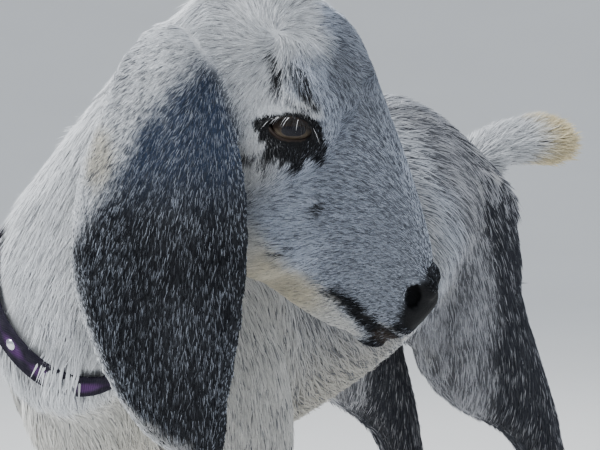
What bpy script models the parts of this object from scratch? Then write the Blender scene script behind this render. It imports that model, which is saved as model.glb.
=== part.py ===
"""A young Nubian goat, life size, standing square and looking back over its left side.

The body faces -Y, the animal's left is +X, and its hooves stand on z = 0.
Every length below is in centimetres and is turned into metres when a mesh is made.
The flesh is modelled whole, as overlapping lofts that are fused, and then parted
into head, neck, torso and legs with thin cuts.
"""

import math

import bmesh
import bpy
import numpy as np
from mathutils import Matrix, Vector
from mathutils.bvhtree import BVHTree

CM = 0.01
GAP = 0.03

# Trunk: where each cross-section lies along Y, its top, bottom and half widths
WITHERS_HEIGHT = 49.4
RUMP_HEIGHT = 49.1
BODY_HALF_LENGTH = 24.0
BARREL_HALF_WIDTH = 8.0
CHEST_FLOOR = 29.3
TRUNK = (
    (-BODY_HALF_LENGTH, 41.0, 35.6, 1.0, 1.8, 1.0),
    (-22.8, 44.4, 32.6, 2.0, 3.7, 2.1),
    (-20.0, 47.0, 30.6, 2.6, 5.3, 3.2),
    (-16.0, 48.9, CHEST_FLOOR, 2.6, 6.5, 3.8),
    (-12.0, WITHERS_HEIGHT, CHEST_FLOOR, 2.5, 7.1, 4.2),
    (-7.0, 48.7, 29.9, 3.1, 7.7, 4.8),
    (-2.0, 48.1, 30.8, 3.5, BARREL_HALF_WIDTH, 5.0),
    (4.0, 48.5, 32.2, 3.8, 7.7, 4.8),
    (9.0, RUMP_HEIGHT, 33.6, 3.8, 6.8, 4.2),
    (13.0, 48.8, 34.8, 3.5, 6.0, 3.6),
    (17.0, 47.5, 36.0, 3.0, 5.3, 3.2),
    (21.0, 45.7, 37.4, 2.5, 4.3, 2.8),
    (23.2, 44.4, 39.0, 1.9, 3.2, 2.2),
    (BODY_HALF_LENGTH + 0.6, 43.0, 40.6, 0.8, 1.4, 1.0),
)

# Neck: centre line, half width across and half depth from nape to throat
NECK = (
    (0.0, -12.5, 41.2, 4.2, 6.3),
    (0.1, -17.5, 39.9, 4.4, 6.4),
    (0.4, -21.6, 39.0, 4.3, 6.1),
    (1.3, -24.3, 39.2, 4.1, 5.5),
    (2.8, -25.4, 40.6, 3.8, 5.0),
    (5.0, -25.5, 43.2, 3.5, 4.5),
    (7.2, -25.1, 46.0, 3.25, 4.3),
    (9.3, -24.6, 48.8, 3.05, 4.1),
    (10.9, -24.2, 50.9, 2.8, 3.7),
)
NECK_CUT_POINT = (0.3, -20.5, 42.0)
NECK_CUT_NORMAL = (0.12, -0.8, 0.59)

# Head frame: its origin lies on the middle plane, level with the eyes
EYE_LINE = (13.36, -22.4, 48.5)
FACE_HEADING = 36.0
FACE_PITCH = 48.5
FACE_ROLL = 16.0
# Distance forward of the eyes, top, bottom and half widths of the skull and muzzle
SKULL = (
    (-7.2, 2.2, -3.6, 1.8, 2.5, 2.2),
    (-5.6, 3.4, -4.8, 2.3, 3.0, 2.4),
    (-4.0, 4.1, -5.8, 2.7, 3.3, 2.5),
    (-2.4, 4.4, -6.6, 2.9, 3.45, 2.4),
    (-0.8, 4.45, -7.0, 2.8, 3.5, 2.3),
    (0.8, 4.0, -7.2, 2.5, 3.5, 2.2),
    (2.4, 3.4, -7.2, 2.0, 3.25, 2.1),
    (4.0, 2.8, -7.0, 1.7, 2.8, 1.9),
    (5.6, 2.15, -6.65, 1.5, 2.4, 1.7),
    (7.2, 1.45, -6.3, 1.4, 2.15, 1.55),
    (8.6, 0.75, -5.85, 1.4, 2.05, 1.45),
    (9.7, 0.05, -5.2, 1.4, 1.95, 1.35),
    (10.5, -0.6, -4.5, 1.25, 1.75, 1.15),
    (11.15, -1.3, -3.9, 0.9, 1.3, 0.8),
    (11.55, -2.0, -3.3, 0.3, 0.55, 0.3),
)
REAR_FORMS = ("throat", "temple", "ear_root", "orbit", "dome")
BODY_FACES = 4300
HEAD_FACES = 2300
POLL_CUT = (-7.1, 2.5)
THROAT_DEPTH = 1.6
THROAT_CUT = (-1.6, -8.0)

# Eyes, lids, nostrils and mouth, in the head frame (forward, right, up)
EYE_RADIUS = 1.1
EYE_CENTRE = (0.0, 2.95, 0.0)
LID_HALF_WIDTH = 1.15
LID_HALF_HEIGHT = 0.56
LID_TILT = 38.0
LID_THICKNESS = 0.17
NOSTRIL = (9.95, 1.45, -1.25)
MOUTH_CORNER = (6.8, -4.3)
MOUTH_FRONT = (11.0, -3.45)

# Ears: stations down the ear with its half width and how far the edges curl in
EAR_HALF_WIDTH = 4.05
EAR_THICKNESS = 0.34

# Legs: centre line with half width and half depth, hip or shoulder to coronet
FORELEG = (
    (4.6, -16.6, 39.5, 1.9, 3.8),
    (5.0, -15.6, 35.5, 2.4, 4.2),
    (5.1, -13.6, 31.5, 2.2, 3.6),
    (4.9, -12.6, 27.8, 1.75, 2.6),
    (4.7, -12.9, 23.8, 1.4, 1.8),
    (4.55, -13.3, 20.0, 1.3, 1.45),
    (4.5, -13.5, 17.8, 1.45, 1.5),
    (4.45, -13.4, 15.8, 1.2, 1.25),
    (4.4, -13.2, 12.5, 0.97, 1.05),
    (4.4, -13.2, 8.4, 0.97, 1.05),
    (4.4, -13.3, 6.3, 1.15, 1.3),
    (4.4, -14.0, 4.4, 1.0, 1.1),
    (4.4, -14.7, 2.7, 1.25, 1.5),
)
HINDLEG = (
    (3.0, 15.6, 44.2, 2.2, 5.0),
    (3.6, 14.6, 40.0, 2.7, 6.5),
    (4.0, 13.8, 36.4, 2.8, 6.3),
    (4.4, 15.6, 33.6, 2.6, 4.9),
    (4.7, 18.7, 31.0, 2.1, 3.3),
    (4.8, 21.8, 28.2, 1.65, 2.2),
    (4.8, 24.2, 24.6, 1.35, 1.65),
    (4.7, 25.8, 21.0, 1.3, 1.7),
    (4.65, 26.1, 18.6, 1.2, 1.5),
    (4.6, 25.8, 15.6, 1.0, 1.16),
    (4.6, 25.4, 10.4, 0.93, 1.06),
    (4.6, 25.0, 6.6, 1.1, 1.25),
    (4.6, 24.2, 4.5, 0.95, 1.08),
    (4.6, 23.4, 2.7, 1.25, 1.5),
)
# Each leg: its name, its profile, its side and how far its foot stands off the profile
LEGS = (
    ("leg_front_left", FORELEG, 1, -1.6),
    ("leg_front_right", FORELEG, -1, 1.2),
    ("leg_hind_left", HINDLEG, 1, 0.6),
    ("leg_hind_right", HINDLEG, -1, -3.0),
)
LEG_MARGIN = 1.25
LEG_INNER_FACE = 0.9
HOOF_LENGTH = 3.7
HOOF_HEIGHT = 2.7
CLAW_WIDTH = 1.22

TAIL = (
    (0.0, 22.4, 43.2, 1.35),
    (0.1, 24.2, 44.8, 1.3),
    (0.5, 25.6, 46.0, 1.15),
    (1.2, 26.9, 46.7, 1.0),
    (2.2, 28.0, 46.9, 0.85),
    (3.2, 28.9, 46.5, 0.65),
)
TAIL_LOCKS = 34
TAIL_FACES = 1300
TAIL_LOCK_LENGTH = 3.4

COLLAR_WIDTH = 1.6
COLLAR_THICKNESS = 0.2
COLLAR_OVER = ("neck", "torso", "leg_front_left", "leg_front_right", "head")
COLLAR_HUB = (2.0, -25.0, 38.5)
COLLAR_AXIS = (0.70, -0.32, 0.64)
COLLAR_LIFT = 3.6
COLLAR_REACH = (3.6, 5.1)
COLLAR_STAND = 0.0
COLLAR_STUD = 34
STUD_RADIUS = 0.36

WHITE_COAT = (0.72, 0.71, 0.69)
GREY_COAT = (0.40, 0.40, 0.42)
DARK_EAR = (0.10, 0.10, 0.12)
HORN = (0.09, 0.08, 0.075)
EYE_COLOUR = (0.16, 0.12, 0.08)
WEBBING = (0.12, 0.05, 0.16)
STEEL = (0.6, 0.6, 0.62)


def unit(vector):
    vector = np.asarray(vector, float)
    return vector / np.linalg.norm(vector, axis=-1, keepdims=True)


def head_frame():
    """Rows are the face's forward, right and up directions in the world."""
    heading = math.radians(FACE_HEADING)
    pitch = math.radians(FACE_PITCH)
    roll = math.radians(FACE_ROLL)
    flat = np.array((math.cos(heading), math.sin(heading), 0.0))
    level_right = np.array((math.sin(heading), -math.cos(heading), 0.0))
    rise = np.array((0.0, 0.0, 1.0))
    forward = math.cos(pitch) * flat - math.sin(pitch) * rise
    level_up = math.sin(pitch) * flat + math.cos(pitch) * rise
    up = math.cos(roll) * level_up + math.sin(roll) * level_right
    right = math.cos(roll) * level_right - math.sin(roll) * level_up
    return np.array((forward, right, up))


HEAD = head_frame()


def on_head(points):
    """Points given as (forward, right, up) of the eye line, in world centimetres."""
    return np.asarray(points, float) @ HEAD + np.array(EYE_LINE)


def smooth_rows(table, count):
    """The table's rows joined by a cubic that passes through each of them."""
    table = np.asarray(table, float)
    knots = np.arange(len(table))
    slopes = np.gradient(table, axis=0)
    places = np.linspace(0, len(table) - 1, count)
    cell = np.minimum(places.astype(int), len(table) - 2)
    part = (places - knots[cell])[:, None]
    first = (1 + 2 * part) * (1 - part) ** 2 * table[cell]
    lean = part * (1 - part) ** 2 * slopes[cell]
    last = part**2 * (3 - 2 * part) * table[cell + 1]
    close = part**2 * (part - 1) * slopes[cell + 1]
    return first + lean + last + close


def section(top, bottom, w_top, w_mid, w_low, count=28, square=0.82):
    """A rounded outline, wide at its middle, as (across, up) pairs."""
    angle = np.linspace(0, 2 * np.pi, count, endpoint=False)
    up = np.sign(np.sin(angle)) * np.abs(np.sin(angle)) ** square
    side = np.sign(np.cos(angle)) * np.abs(np.cos(angle)) ** square
    width = w_mid + (w_top - w_mid) * np.clip(up, 0, 1) ** 1.5
    width = width + (w_low - w_mid) * np.clip(-up, 0, 1) ** 1.5
    height = (top + bottom) / 2 + (top - bottom) / 2 * up
    return np.stack((width * side, height), axis=1)


def mesh_object(name, points, faces):
    """A mesh object from points in centimetres, with its faces turned outwards."""
    mesh = bpy.data.meshes.new(name)
    mesh.from_pydata((np.asarray(points) * CM).tolist(), [], [list(f) for f in faces])
    shell = bmesh.new()
    shell.from_mesh(mesh)
    bmesh.ops.recalc_face_normals(shell, faces=shell.faces)
    shell.to_mesh(mesh)
    shell.free()
    made = bpy.data.objects.new(name, mesh)
    bpy.context.scene.collection.objects.link(made)
    return made


def loft(name, rings):
    """Rings of equal count joined into a tube, closed at each end by a fan."""
    rings = np.asarray(rings, float)
    rows, count, _ = rings.shape
    points = list(rings.reshape(-1, 3))
    points.append(rings[0].mean(axis=0))
    points.append(rings[-1].mean(axis=0))
    start, finish = rows * count, rows * count + 1
    faces = []
    for row in range(rows - 1):
        for step in range(count):
            after = (step + 1) % count
            low, high = row * count, (row + 1) * count
            faces.append((low + step, low + after, high + after, high + step))
    for step in range(count):
        after = (step + 1) % count
        last = (rows - 1) * count
        faces.append((start, after, step))
        faces.append((finish, last + step, last + after))
    return mesh_object(name, points, faces)


def limb(name, table, rings=40, count=24):
    """A limb: ellipses square to a centre line that lies near one upright plane."""
    rows = smooth_rows(table, rings)
    centre = rows[:, :3]
    along = unit(np.gradient(centre, axis=0))
    across = np.array((1.0, 0.0, 0.0)) - along * along[:, :1]
    across = unit(across)
    deep = unit(np.cross(along, across))
    angle = np.linspace(0, 2 * np.pi, count, endpoint=False)
    side = across[:, None] * np.cos(angle)[None, :, None] * rows[:, 3, None, None]
    depth = deep[:, None] * np.sin(angle)[None, :, None] * rows[:, 4, None, None]
    return loft(name, centre[:, None] + side + depth)


def ball(name, centre, radii, frame=None, segments=28, rings=16):
    """An ellipsoid with its half sizes along the rows of a frame."""
    bpy.ops.mesh.primitive_uv_sphere_add(segments=segments, ring_count=rings, radius=1)
    made = bpy.context.active_object
    made.name = name
    axes = np.eye(3) if frame is None else np.asarray(frame)
    turn = Matrix((axes * np.asarray(radii)[:, None] * CM).T.tolist()).to_4x4()
    turn.translation = Vector((np.asarray(centre) * CM).tolist())
    made.data.transform(turn)
    if turn.determinant() < 0:
        made.data.flip_normals()
    return made


def rod(name, path, radius, count=10):
    """A round rod along a path, its radius one number or one for each point."""
    path = np.asarray(path, float)
    radii = np.broadcast_to(np.asarray(radius, float), len(path))
    along = unit(np.gradient(path, axis=0))
    guide = np.array((0.0, 0.0, 1.0))
    if abs(along[0] @ guide) > 0.9:
        guide = np.array((1.0, 0.0, 0.0))
    first = unit(np.cross(along, guide))
    second = np.cross(along, first)
    angle = np.linspace(0, 2 * np.pi, count, endpoint=False)
    ring = first[:, None] * np.cos(angle)[None, :, None]
    ring = ring + second[:, None] * np.sin(angle)[None, :, None]
    return loft(name, path[:, None] + ring * radii[:, None, None])


def applied(made, name=None):
    """The object with its modifiers worked into its mesh."""
    graph = bpy.context.evaluated_depsgraph_get()
    mesh = bpy.data.meshes.new_from_object(made.evaluated_get(graph))
    made.modifiers.clear()
    made.data = mesh
    if name:
        made.name = name
    return made


def thinned(made, faces):
    """The object brought down to about this many triangles."""
    thin = made.modifiers.new("thin", "DECIMATE")
    thin.ratio = min(1.0, faces / sum(len(face.vertices) - 2 for face in made.data.polygons))
    return applied(made)


def remove(objects):
    for made in objects:
        bpy.data.objects.remove(made)


def joined(name, objects):
    """Copies of the objects' meshes in one object; the objects themselves stay."""
    shell = bmesh.new()
    for made in objects:
        shell.from_mesh(made.data)
    mesh = bpy.data.meshes.new(name)
    shell.to_mesh(mesh)
    shell.free()
    whole = bpy.data.objects.new(name, mesh)
    bpy.context.scene.collection.objects.link(whole)
    return whole


def fused(name, objects, voxel, rounds, keep):
    """The objects grown into one skin, smoothed, then thinned to a share of its faces."""
    whole = joined(name, objects)
    skin = whole.modifiers.new("skin", "REMESH")
    skin.mode = "VOXEL"
    skin.voxel_size = voxel * CM
    soften = whole.modifiers.new("soften", "SMOOTH")
    soften.factor = 0.5
    soften.iterations = rounds
    if keep < 1:
        thin = whole.modifiers.new("thin", "DECIMATE")
        thin.ratio = keep
    return applied(whole)


def largest(made):
    """Keeps only the largest closed surface of the mesh."""
    shell = bmesh.new()
    shell.from_mesh(made.data)
    shell.verts.ensure_lookup_table()
    seen = set()
    groups = []
    for seed in shell.verts:
        if seed in seen:
            continue
        group, todo = [], [seed]
        seen.add(seed)
        while todo:
            vert = todo.pop()
            group.append(vert)
            for edge in vert.link_edges:
                other = edge.other_vert(vert)
                if other not in seen:
                    seen.add(other)
                    todo.append(other)
        groups.append(group)
    groups.sort(key=len, reverse=True)
    for group in groups[1:]:
        bmesh.ops.delete(shell, geom=group, context="VERTS")
    shell.to_mesh(made.data)
    shell.free()
    return made


def cut_flat(made, point, normal, side=1):
    """Keeps what lies on one side of a plane, half a gap off it, and caps the cut.

    A plane that grazes a corner can leave a hole, and then it moves by a hundredth
    of a millimetre.
    """
    normal = unit(normal) * side
    point = np.asarray(point, float) + normal * GAP / 2
    for _attempt in range(6):
        shell = bmesh.new()
        shell.from_mesh(made.data)
        geom = shell.verts[:] + shell.edges[:] + shell.faces[:]
        bmesh.ops.bisect_plane(
            shell,
            geom=geom,
            dist=1e-7,
            plane_co=Vector((point * CM).tolist()),
            plane_no=Vector(normal.tolist()),
            clear_inner=True,
        )
        rim = [edge for edge in shell.edges if edge.is_boundary]
        bmesh.ops.holes_fill(shell, edges=rim, sides=0)
        bmesh.ops.triangulate(shell, faces=shell.faces)
        bmesh.ops.recalc_face_normals(shell, faces=shell.faces)
        closed = all(edge.is_manifold for edge in shell.edges)
        mesh = bpy.data.meshes.new(made.name)
        shell.to_mesh(mesh)
        shell.free()
        if closed:
            break
        point = point + normal * 0.001
    made.data = mesh
    return made


def boolean(made, tools, operation):
    """A Boolean of the object with each tool in turn, worked into its mesh.

    Faces that nearly coincide can leave it empty or open: then the other solver
    does the step again, and after that the tool moves by a hundredth of a
    millimetre.
    """
    for tool in tools:
        before = made.data
        for attempt in range(8):
            made.data = before
            step = made.modifiers.new(operation, "BOOLEAN")
            step.operation = operation
            step.solver = ("MANIFOLD", "EXACT")[attempt % 2]
            step.object = tool
            applied(made)
            if is_closed(made):
                break
            if attempt % 2:
                tool.data.transform(Matrix.Translation((1e-5, 7e-6, 4e-6)))
    return made


def is_closed(made):
    """Whether the object has a surface with two faces at each edge."""
    shell = bmesh.new()
    shell.from_mesh(made.data)
    closed = len(shell.faces) > 8 and all(edge.is_manifold for edge in shell.edges)
    shell.free()
    return closed


def swollen(made, by):
    """A copy of the object with its skin moved out along its normals."""
    copy = made.copy()
    copy.data = made.data.copy()
    bpy.context.scene.collection.objects.link(copy)
    count = len(copy.data.vertices)
    points = np.empty(count * 3, np.float32)
    normals = np.empty(count * 3, np.float32)
    copy.data.vertices.foreach_get("co", points)
    copy.data.vertices.foreach_get("normal", normals)
    copy.data.vertices.foreach_set("co", points + normals * by * CM)
    copy.data.update()
    return copy


def meets(made, neighbours, gap=GAP):
    """Cuts the object back to a small gap off its neighbours."""
    tools = [swollen(other, gap) for other in neighbours]
    boolean(made, tools, "DIFFERENCE")
    remove(tools)
    return largest(made)


def neck_rings(rings=36, count=28):
    """Ellipses along the neck, turning from the trunk's sides to the head's."""
    rows = smooth_rows(NECK, rings)
    centre = rows[:, :3]
    along = unit(np.gradient(centre, axis=0))
    share = np.linspace(0, 1, rings)[:, None]
    share = share * share * (3 - 2 * share)
    left = (1 - share) * np.array((1.0, 0.0, 0.0)) + share * -HEAD[1]
    left = unit(left - along * (left * along).sum(axis=1, keepdims=True))
    crest = unit(np.cross(left, along))
    angle = np.linspace(0, 2 * np.pi, count, endpoint=False)
    side = left[:, None] * np.cos(angle)[None, :, None] * rows[:, 3, None, None]
    deep = crest[:, None] * np.sin(angle)[None, :, None] * rows[:, 4, None, None]
    return centre, along, left, crest, rows, centre[:, None] + side + deep


def trunk():
    rows = smooth_rows(TRUNK, 48)
    rings = []
    for y, *sizes in rows:
        outline = section(*sizes, count=32)
        across, height = outline[:, 0], outline[:, 1]
        rings.append(np.stack((across, np.full(len(outline), y), height), axis=1))
    return loft("trunk", rings)


def skull(name, foremost):
    """The skull and muzzle, or only what lies behind a distance from the eyes."""
    rows = smooth_rows(SKULL, 46)
    rows = rows[rows[:, 0] <= foremost]
    rings = []
    for forward, *sizes in rows:
        outline = section(*sizes, count=32)
        across, height = outline[:, 0], outline[:, 1]
        ring = np.stack((np.full(len(outline), forward), across, height), axis=1)
        rings.append(on_head(ring))
    return loft(name, rings)


def lid_points(side, swell=1.0, count=20):
    """The lens-shaped rim of the lids, as (forward, up) of the head."""
    angle = np.linspace(0, 2 * np.pi, count, endpoint=False)
    long = LID_HALF_WIDTH * swell * np.cos(angle)
    high = LID_HALF_HEIGHT * swell * np.sin(angle) * np.abs(np.sin(angle)) ** 0.3
    tilt = math.radians(LID_TILT)
    forward = EYE_CENTRE[0] + long * math.cos(tilt) - high * math.sin(tilt)
    up = EYE_CENTRE[2] + long * math.sin(tilt) + high * math.cos(tilt)
    off = np.hypot(forward - EYE_CENTRE[0], up - EYE_CENTRE[2])
    dome = np.sqrt(np.maximum((EYE_RADIUS + 0.1) ** 2 - off**2, 0.12))
    return forward, side * (EYE_CENTRE[1] + dome), up


def face_pieces():
    """Brows, orbits, cheeks, lids, nostril wings and lips, on both sides."""
    made = []
    for side in (1, -1):
        for label, centre, radii in (
            ("orbit", (0.0, 2.6, 0.1), (2.05, 1.5, 1.85)),
            ("brow", (-0.75, 2.3, 1.4), (1.9, 1.2, 1.1)),
            ("cheek", (2.3, 1.6, -3.2), (3.8, 1.75, 3.3)),
            ("jaw", (2.0, 1.0, -5.6), (3.4, 1.55, 1.75)),
            ("temple", (-3.8, 1.8, 0.0), (2.6, 1.6, 2.6)),
            ("ear_root", (-5.0, 2.1, -0.6), (1.6, 1.3, 1.7)),
        ):
            place = on_head((centre[0], side * centre[1], centre[2]))
            made.append(ball(label, place, radii, HEAD))
    for label, centre, radii in (
        ("nose", (10.5, 0.0, -1.6), (0.95, 1.2, 1.1)),
        ("dome", (-1.6, 0.0, 2.2), (3.3, 2.7, 2.35)),
        ("throat", (-1.9, 0.0, -4.6), (3.6, 2.5, 3.1)),
    ):
        made.append(ball(label, on_head(centre), radii, HEAD))
    return made


def face_details():
    """Lids, wings of the nostrils, lips and chin, which keep a crisper shape."""
    made = []
    for side in (1, -1):
        for label, centre, radii in (
            ("wing", (9.85, 1.0, -0.75), (1.0, 0.72, 0.62)),
            ("upper_lip", (9.3, 1.15, -2.75), (2.0, 0.92, 0.85)),
        ):
            place = on_head((centre[0], side * centre[1], centre[2]))
            made.append(ball(label, place, radii, HEAD))
        rim = np.stack(lid_points(side), axis=1)
        rim = on_head(np.concatenate((rim, rim[:2])))
        made.append(rod("lid", rim, LID_THICKNESS, 8))
    made.append(ball("chin", on_head((9.7, 0.0, -4.4)), (1.5, 1.15, 0.85), HEAD))
    return made


def mouth_line(count=25):
    """The line between the lips, from one corner round the front to the other."""
    turn = np.linspace(-1, 1, count)
    back = np.abs(turn) ** 1.8
    forward = MOUTH_FRONT[0] + (MOUTH_CORNER[0] - MOUTH_FRONT[0]) * back
    up = MOUTH_FRONT[1] + (MOUTH_CORNER[1] - MOUTH_FRONT[1]) * np.abs(turn)
    across = 1.98 * np.sign(turn) * np.abs(turn) ** 0.42
    return np.stack((forward, across, up), axis=1)


def carve_face(head):
    """Cuts the eye sockets, the openings of the lids, the nostrils and the mouth."""
    tools = []
    for side in (1, -1):
        centre = (EYE_CENTRE[0], side * EYE_CENTRE[1], EYE_CENTRE[2])
        radius = EYE_RADIUS + GAP
        tools.append(ball("socket", on_head(centre), (radius,) * 3, HEAD, 16, 10))
        forward, across, up = lid_points(side, 0.93)
        rings = [
            on_head(np.stack((forward, np.full(len(forward), side * far), up), axis=1))
            for far in (EYE_CENTRE[1], EYE_CENTRE[1] + 2.5)
        ]
        tools.append(loft("opening", rings))
        slit = [
            (NOSTRIL[0] + 0.18, side * NOSTRIL[1], NOSTRIL[2] - 0.55),
            (NOSTRIL[0] + 0.12, side * (NOSTRIL[1] + 0.02), NOSTRIL[2] - 0.15),
            (NOSTRIL[0] - 0.1, side * (NOSTRIL[1] + 0.1), NOSTRIL[2] + 0.2),
            (NOSTRIL[0] - 0.45, side * (NOSTRIL[1] + 0.2), NOSTRIL[2] + 0.34),
        ]
        slit = smooth_rows(slit, 6)
        tools.append(rod("nostril", on_head(slit), np.linspace(0.34, 0.2, 6), 8))
    tools.append(rod("mouth", on_head(mouth_line()), 0.12, 6))
    boolean(head, tools, "DIFFERENCE")
    remove(tools)
    return largest(head)


def ear(name, rows, across, out, curl, twist=0.0):
    """A hanging ear: a bowed sheet with thin edges.

    Each row gives the middle of the ear there and its half width. Across runs from
    the rear edge to the front one, out is the side away from the head, and curl
    says how far the two edges bend back towards the head. Twist turns the lower
    part about the vertical, in degrees.
    """
    rows = smooth_rows(rows, 20)
    centre, half = rows[:, :3], rows[:, 3]
    along = unit(np.gradient(centre, axis=0))
    down = np.linspace(0, 1, len(rows))
    eased = np.clip(down * 2.0, 0, 1)
    turn = np.radians(twist) * (eased * eased * (3 - 2 * eased))[:, None]
    aside = np.cross((0.0, 0.0, 1.0), across)
    across = np.asarray(across, float) * np.cos(turn) + aside * np.sin(turn)
    aside = np.cross((0.0, 0.0, 1.0), out)
    out = np.asarray(out, float) * np.cos(turn) + aside * np.sin(turn)
    across = unit(across - along * (along * across).sum(axis=1, keepdims=True))
    out = out - along * (along * out).sum(axis=1, keepdims=True)
    out = unit(out - across * (across * out).sum(axis=1, keepdims=True))
    share = np.linspace(-1, 1, 11)
    bend = curl[0] + (curl[1] - curl[0]) * np.clip(down * 2.2, 0, 1)
    bow = -np.abs(share[None, :]) ** 2.2 * (half * bend)[:, None]
    ripple = 0.16 * np.sin(share[None, :] * 5.0 + 0.6) * np.clip(1 - down, 0, 1)[:, None]
    sheet = centre[:, None] + across[:, None] * (share[None, :, None] * half[:, None, None])
    sheet = sheet + out[:, None] * (bow + ripple)[:, :, None]
    rim = np.sqrt(np.clip(1 - share**4, 0, 1))
    end = np.sqrt(np.clip(1 - down**6, 0, 1))
    thick = (0.09 + (EAR_THICKNESS / 2 - 0.09) * rim[None, :]) * (0.35 + 0.65 * end[:, None])
    normal = np.cross(np.gradient(sheet, axis=0), np.gradient(sheet, axis=1))
    normal = unit(normal)
    facing = np.sign((normal * out[:, None]).sum(axis=2, keepdims=True))
    normal = normal * facing
    outer = sheet + normal * thick[:, :, None]
    inner = sheet - normal * thick[:, :, None]
    count = len(share)
    rings = np.concatenate((outer, inner[:, ::-1]), axis=1)
    points = rings.reshape(-1, 3)
    around = 2 * count
    faces = []
    for row in range(len(rows) - 1):
        for step in range(around):
            after = (step + 1) % around
            a, b = row * around + step, row * around + after
            c, d = (row + 1) * around + after, (row + 1) * around + step
            mirrored = step >= count
            if step in (count - 1, around - 1):
                faces += [(a, b, c), (a, c, d)]
            elif mirrored:
                faces += [(a, b, d), (b, c, d)]
            else:
                faces += [(a, b, c), (a, c, d)]
    for row in (0, len(rows) - 1):
        base = row * around
        for step in range(count - 1):
            a, b = base + step, base + step + 1
            c, d = base + around - 2 - step, base + around - 1 - step
            faces += [(a, b, c), (a, c, d)]
    return mesh_object(name, points, faces)


def claw(name, toe, side):
    """One half of a hoof: a wedge with a flat sole, standing on the floor."""
    levels = (
        (0.0, 1.0, 1.0),
        (HOOF_HEIGHT * 0.45, 0.86, 0.95),
        (HOOF_HEIGHT - GAP, 0.70, 0.88),
    )
    rings = []
    for height, length, width in levels:
        angle = np.linspace(0, 2 * np.pi, 16, endpoint=False)
        lean = (HOOF_HEIGHT - height) * 0.22
        y = -np.cos(angle) * HOOF_LENGTH / 2 * length
        half = CLAW_WIDTH / 2 * width * np.abs(np.sin(angle)) ** 0.6
        narrow = 1 - 0.32 * np.clip(-y / HOOF_LENGTH, 0, 1)
        x = np.sign(np.sin(angle)) * half * narrow
        shift = side * (CLAW_WIDTH / 2 + GAP)
        rings.append(
            np.stack((toe[0] + shift + x, toe[1] - lean + y, np.full(16, height)), axis=1)
        )
    return loft(name, rings)


def leg_table(profile, side, step):
    """The leg's rows on its own side, with the foot moved forward or back."""
    rows = np.array(profile, float)
    rows[:, 0] *= side
    rows[:, 1] += step * np.clip((36 - rows[:, 2]) / 30, 0, 1)
    return rows


def tendons(rows):
    """The heel of the hock with the tendon above it, on a hind leg."""
    hock = rows[7]
    heel = hock[:3] + np.array((0, 1.05, 0.2))
    upper = rows[5][:3] + np.array((0, 1.2, 0.8))
    made = ball("heel", heel, (0.85, 0.95, 1.5))
    cord = smooth_rows((upper, (upper + heel) / 2 + np.array((0, 0.1, 0)), heel), 8)
    return [made, rod("tendon", cord, 0.62)]


def dewclaws(rows):
    """The two small horny nubs behind the fetlock."""
    fetlock = rows[-3][:3]
    made = []
    for side in (-0.55, 0.55):
        place = fetlock + np.array((side, 1.1, -0.5))
        made.append(ball("dewclaw", place, (0.36, 0.42, 0.6)))
    return made


def flesh_pieces():
    """Everything that grows together: trunk, neck, skull and the four legs."""
    made = {"trunk": trunk(), "neck": loft("neck_form", neck_rings()[5])}
    made["skull"] = skull("skull", SKULL[-1][0])
    made["skull_back"] = skull("skull_back", 1.5)
    made["face"] = face_pieces()
    made["details"] = face_details()
    made["legs"] = []
    for name, profile, side, step in LEGS:
        rows = leg_table(profile, side, step)
        made["legs"].append(limb(name + "_form", rows))
        made["legs"] += dewclaws(rows)
        if profile is HINDLEG:
            made["legs"] += tendons(rows)
    made["brisket"] = [
        ball("brisket", (0.0, -20.5, 34.5), (3.6, 3.6, 4.6)),
        ball("crest", (0.2, -17.0, 45.2), (2.6, 5.0, 3.4)),
    ]
    return made


def head_space(grow=0.0):
    """The space in front of a cut that runs from the poll to the throat."""
    poll, throat = np.array(POLL_CUT), np.array(THROAT_CUT)
    along = unit(throat - poll)
    down = along[0] * HEAD[0] + along[1] * HEAD[2]
    ahead = -along[1] * HEAD[0] + along[0] * HEAD[2]
    start = on_head((throat[0], 0, throat[1])) - ahead * grow
    low = start + down * (THROAT_DEPTH + grow)
    high = start - down * 30.0
    across = HEAD[1] * 20.0
    corners = [
        base + across * side + (ahead * 40.0 + drop) * far
        for base, drop in ((low, down * 18.0), (high, down * 0.0))
        for side in (-1, 1)
        for far in (0.0, 1.0)
    ]
    faces = [(0, 1, 3, 2), (4, 6, 7, 5), (0, 4, 5, 1)]
    faces += [(2, 3, 7, 6), (0, 2, 6, 4), (1, 5, 7, 3)]
    return mesh_object("head_space", corners, faces)


def leg_space(name, rows, side, grow=0.0):
    """The space that a leg fills: its own profile made fatter, clear of the middle."""
    wide = np.array(rows, float)
    wide[:, 3:] = wide[:, 3:] * LEG_MARGIN + 0.5 + grow
    wide[0, 2] += 0.8 + grow
    wide[-1, 2] = -1.0
    made = limb(name, wide, 12, 12)
    count = len(made.data.vertices)
    points = np.empty(count * 3, np.float32)
    made.data.vertices.foreach_get("co", points)
    points = points.reshape(-1, 3)
    inner = (LEG_INNER_FACE - grow) * CM
    points[:, 0] = side * np.maximum(side * points[:, 0], inner)
    made.data.vertices.foreach_set("co", points.ravel())
    made.data.update()
    return made


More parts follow.
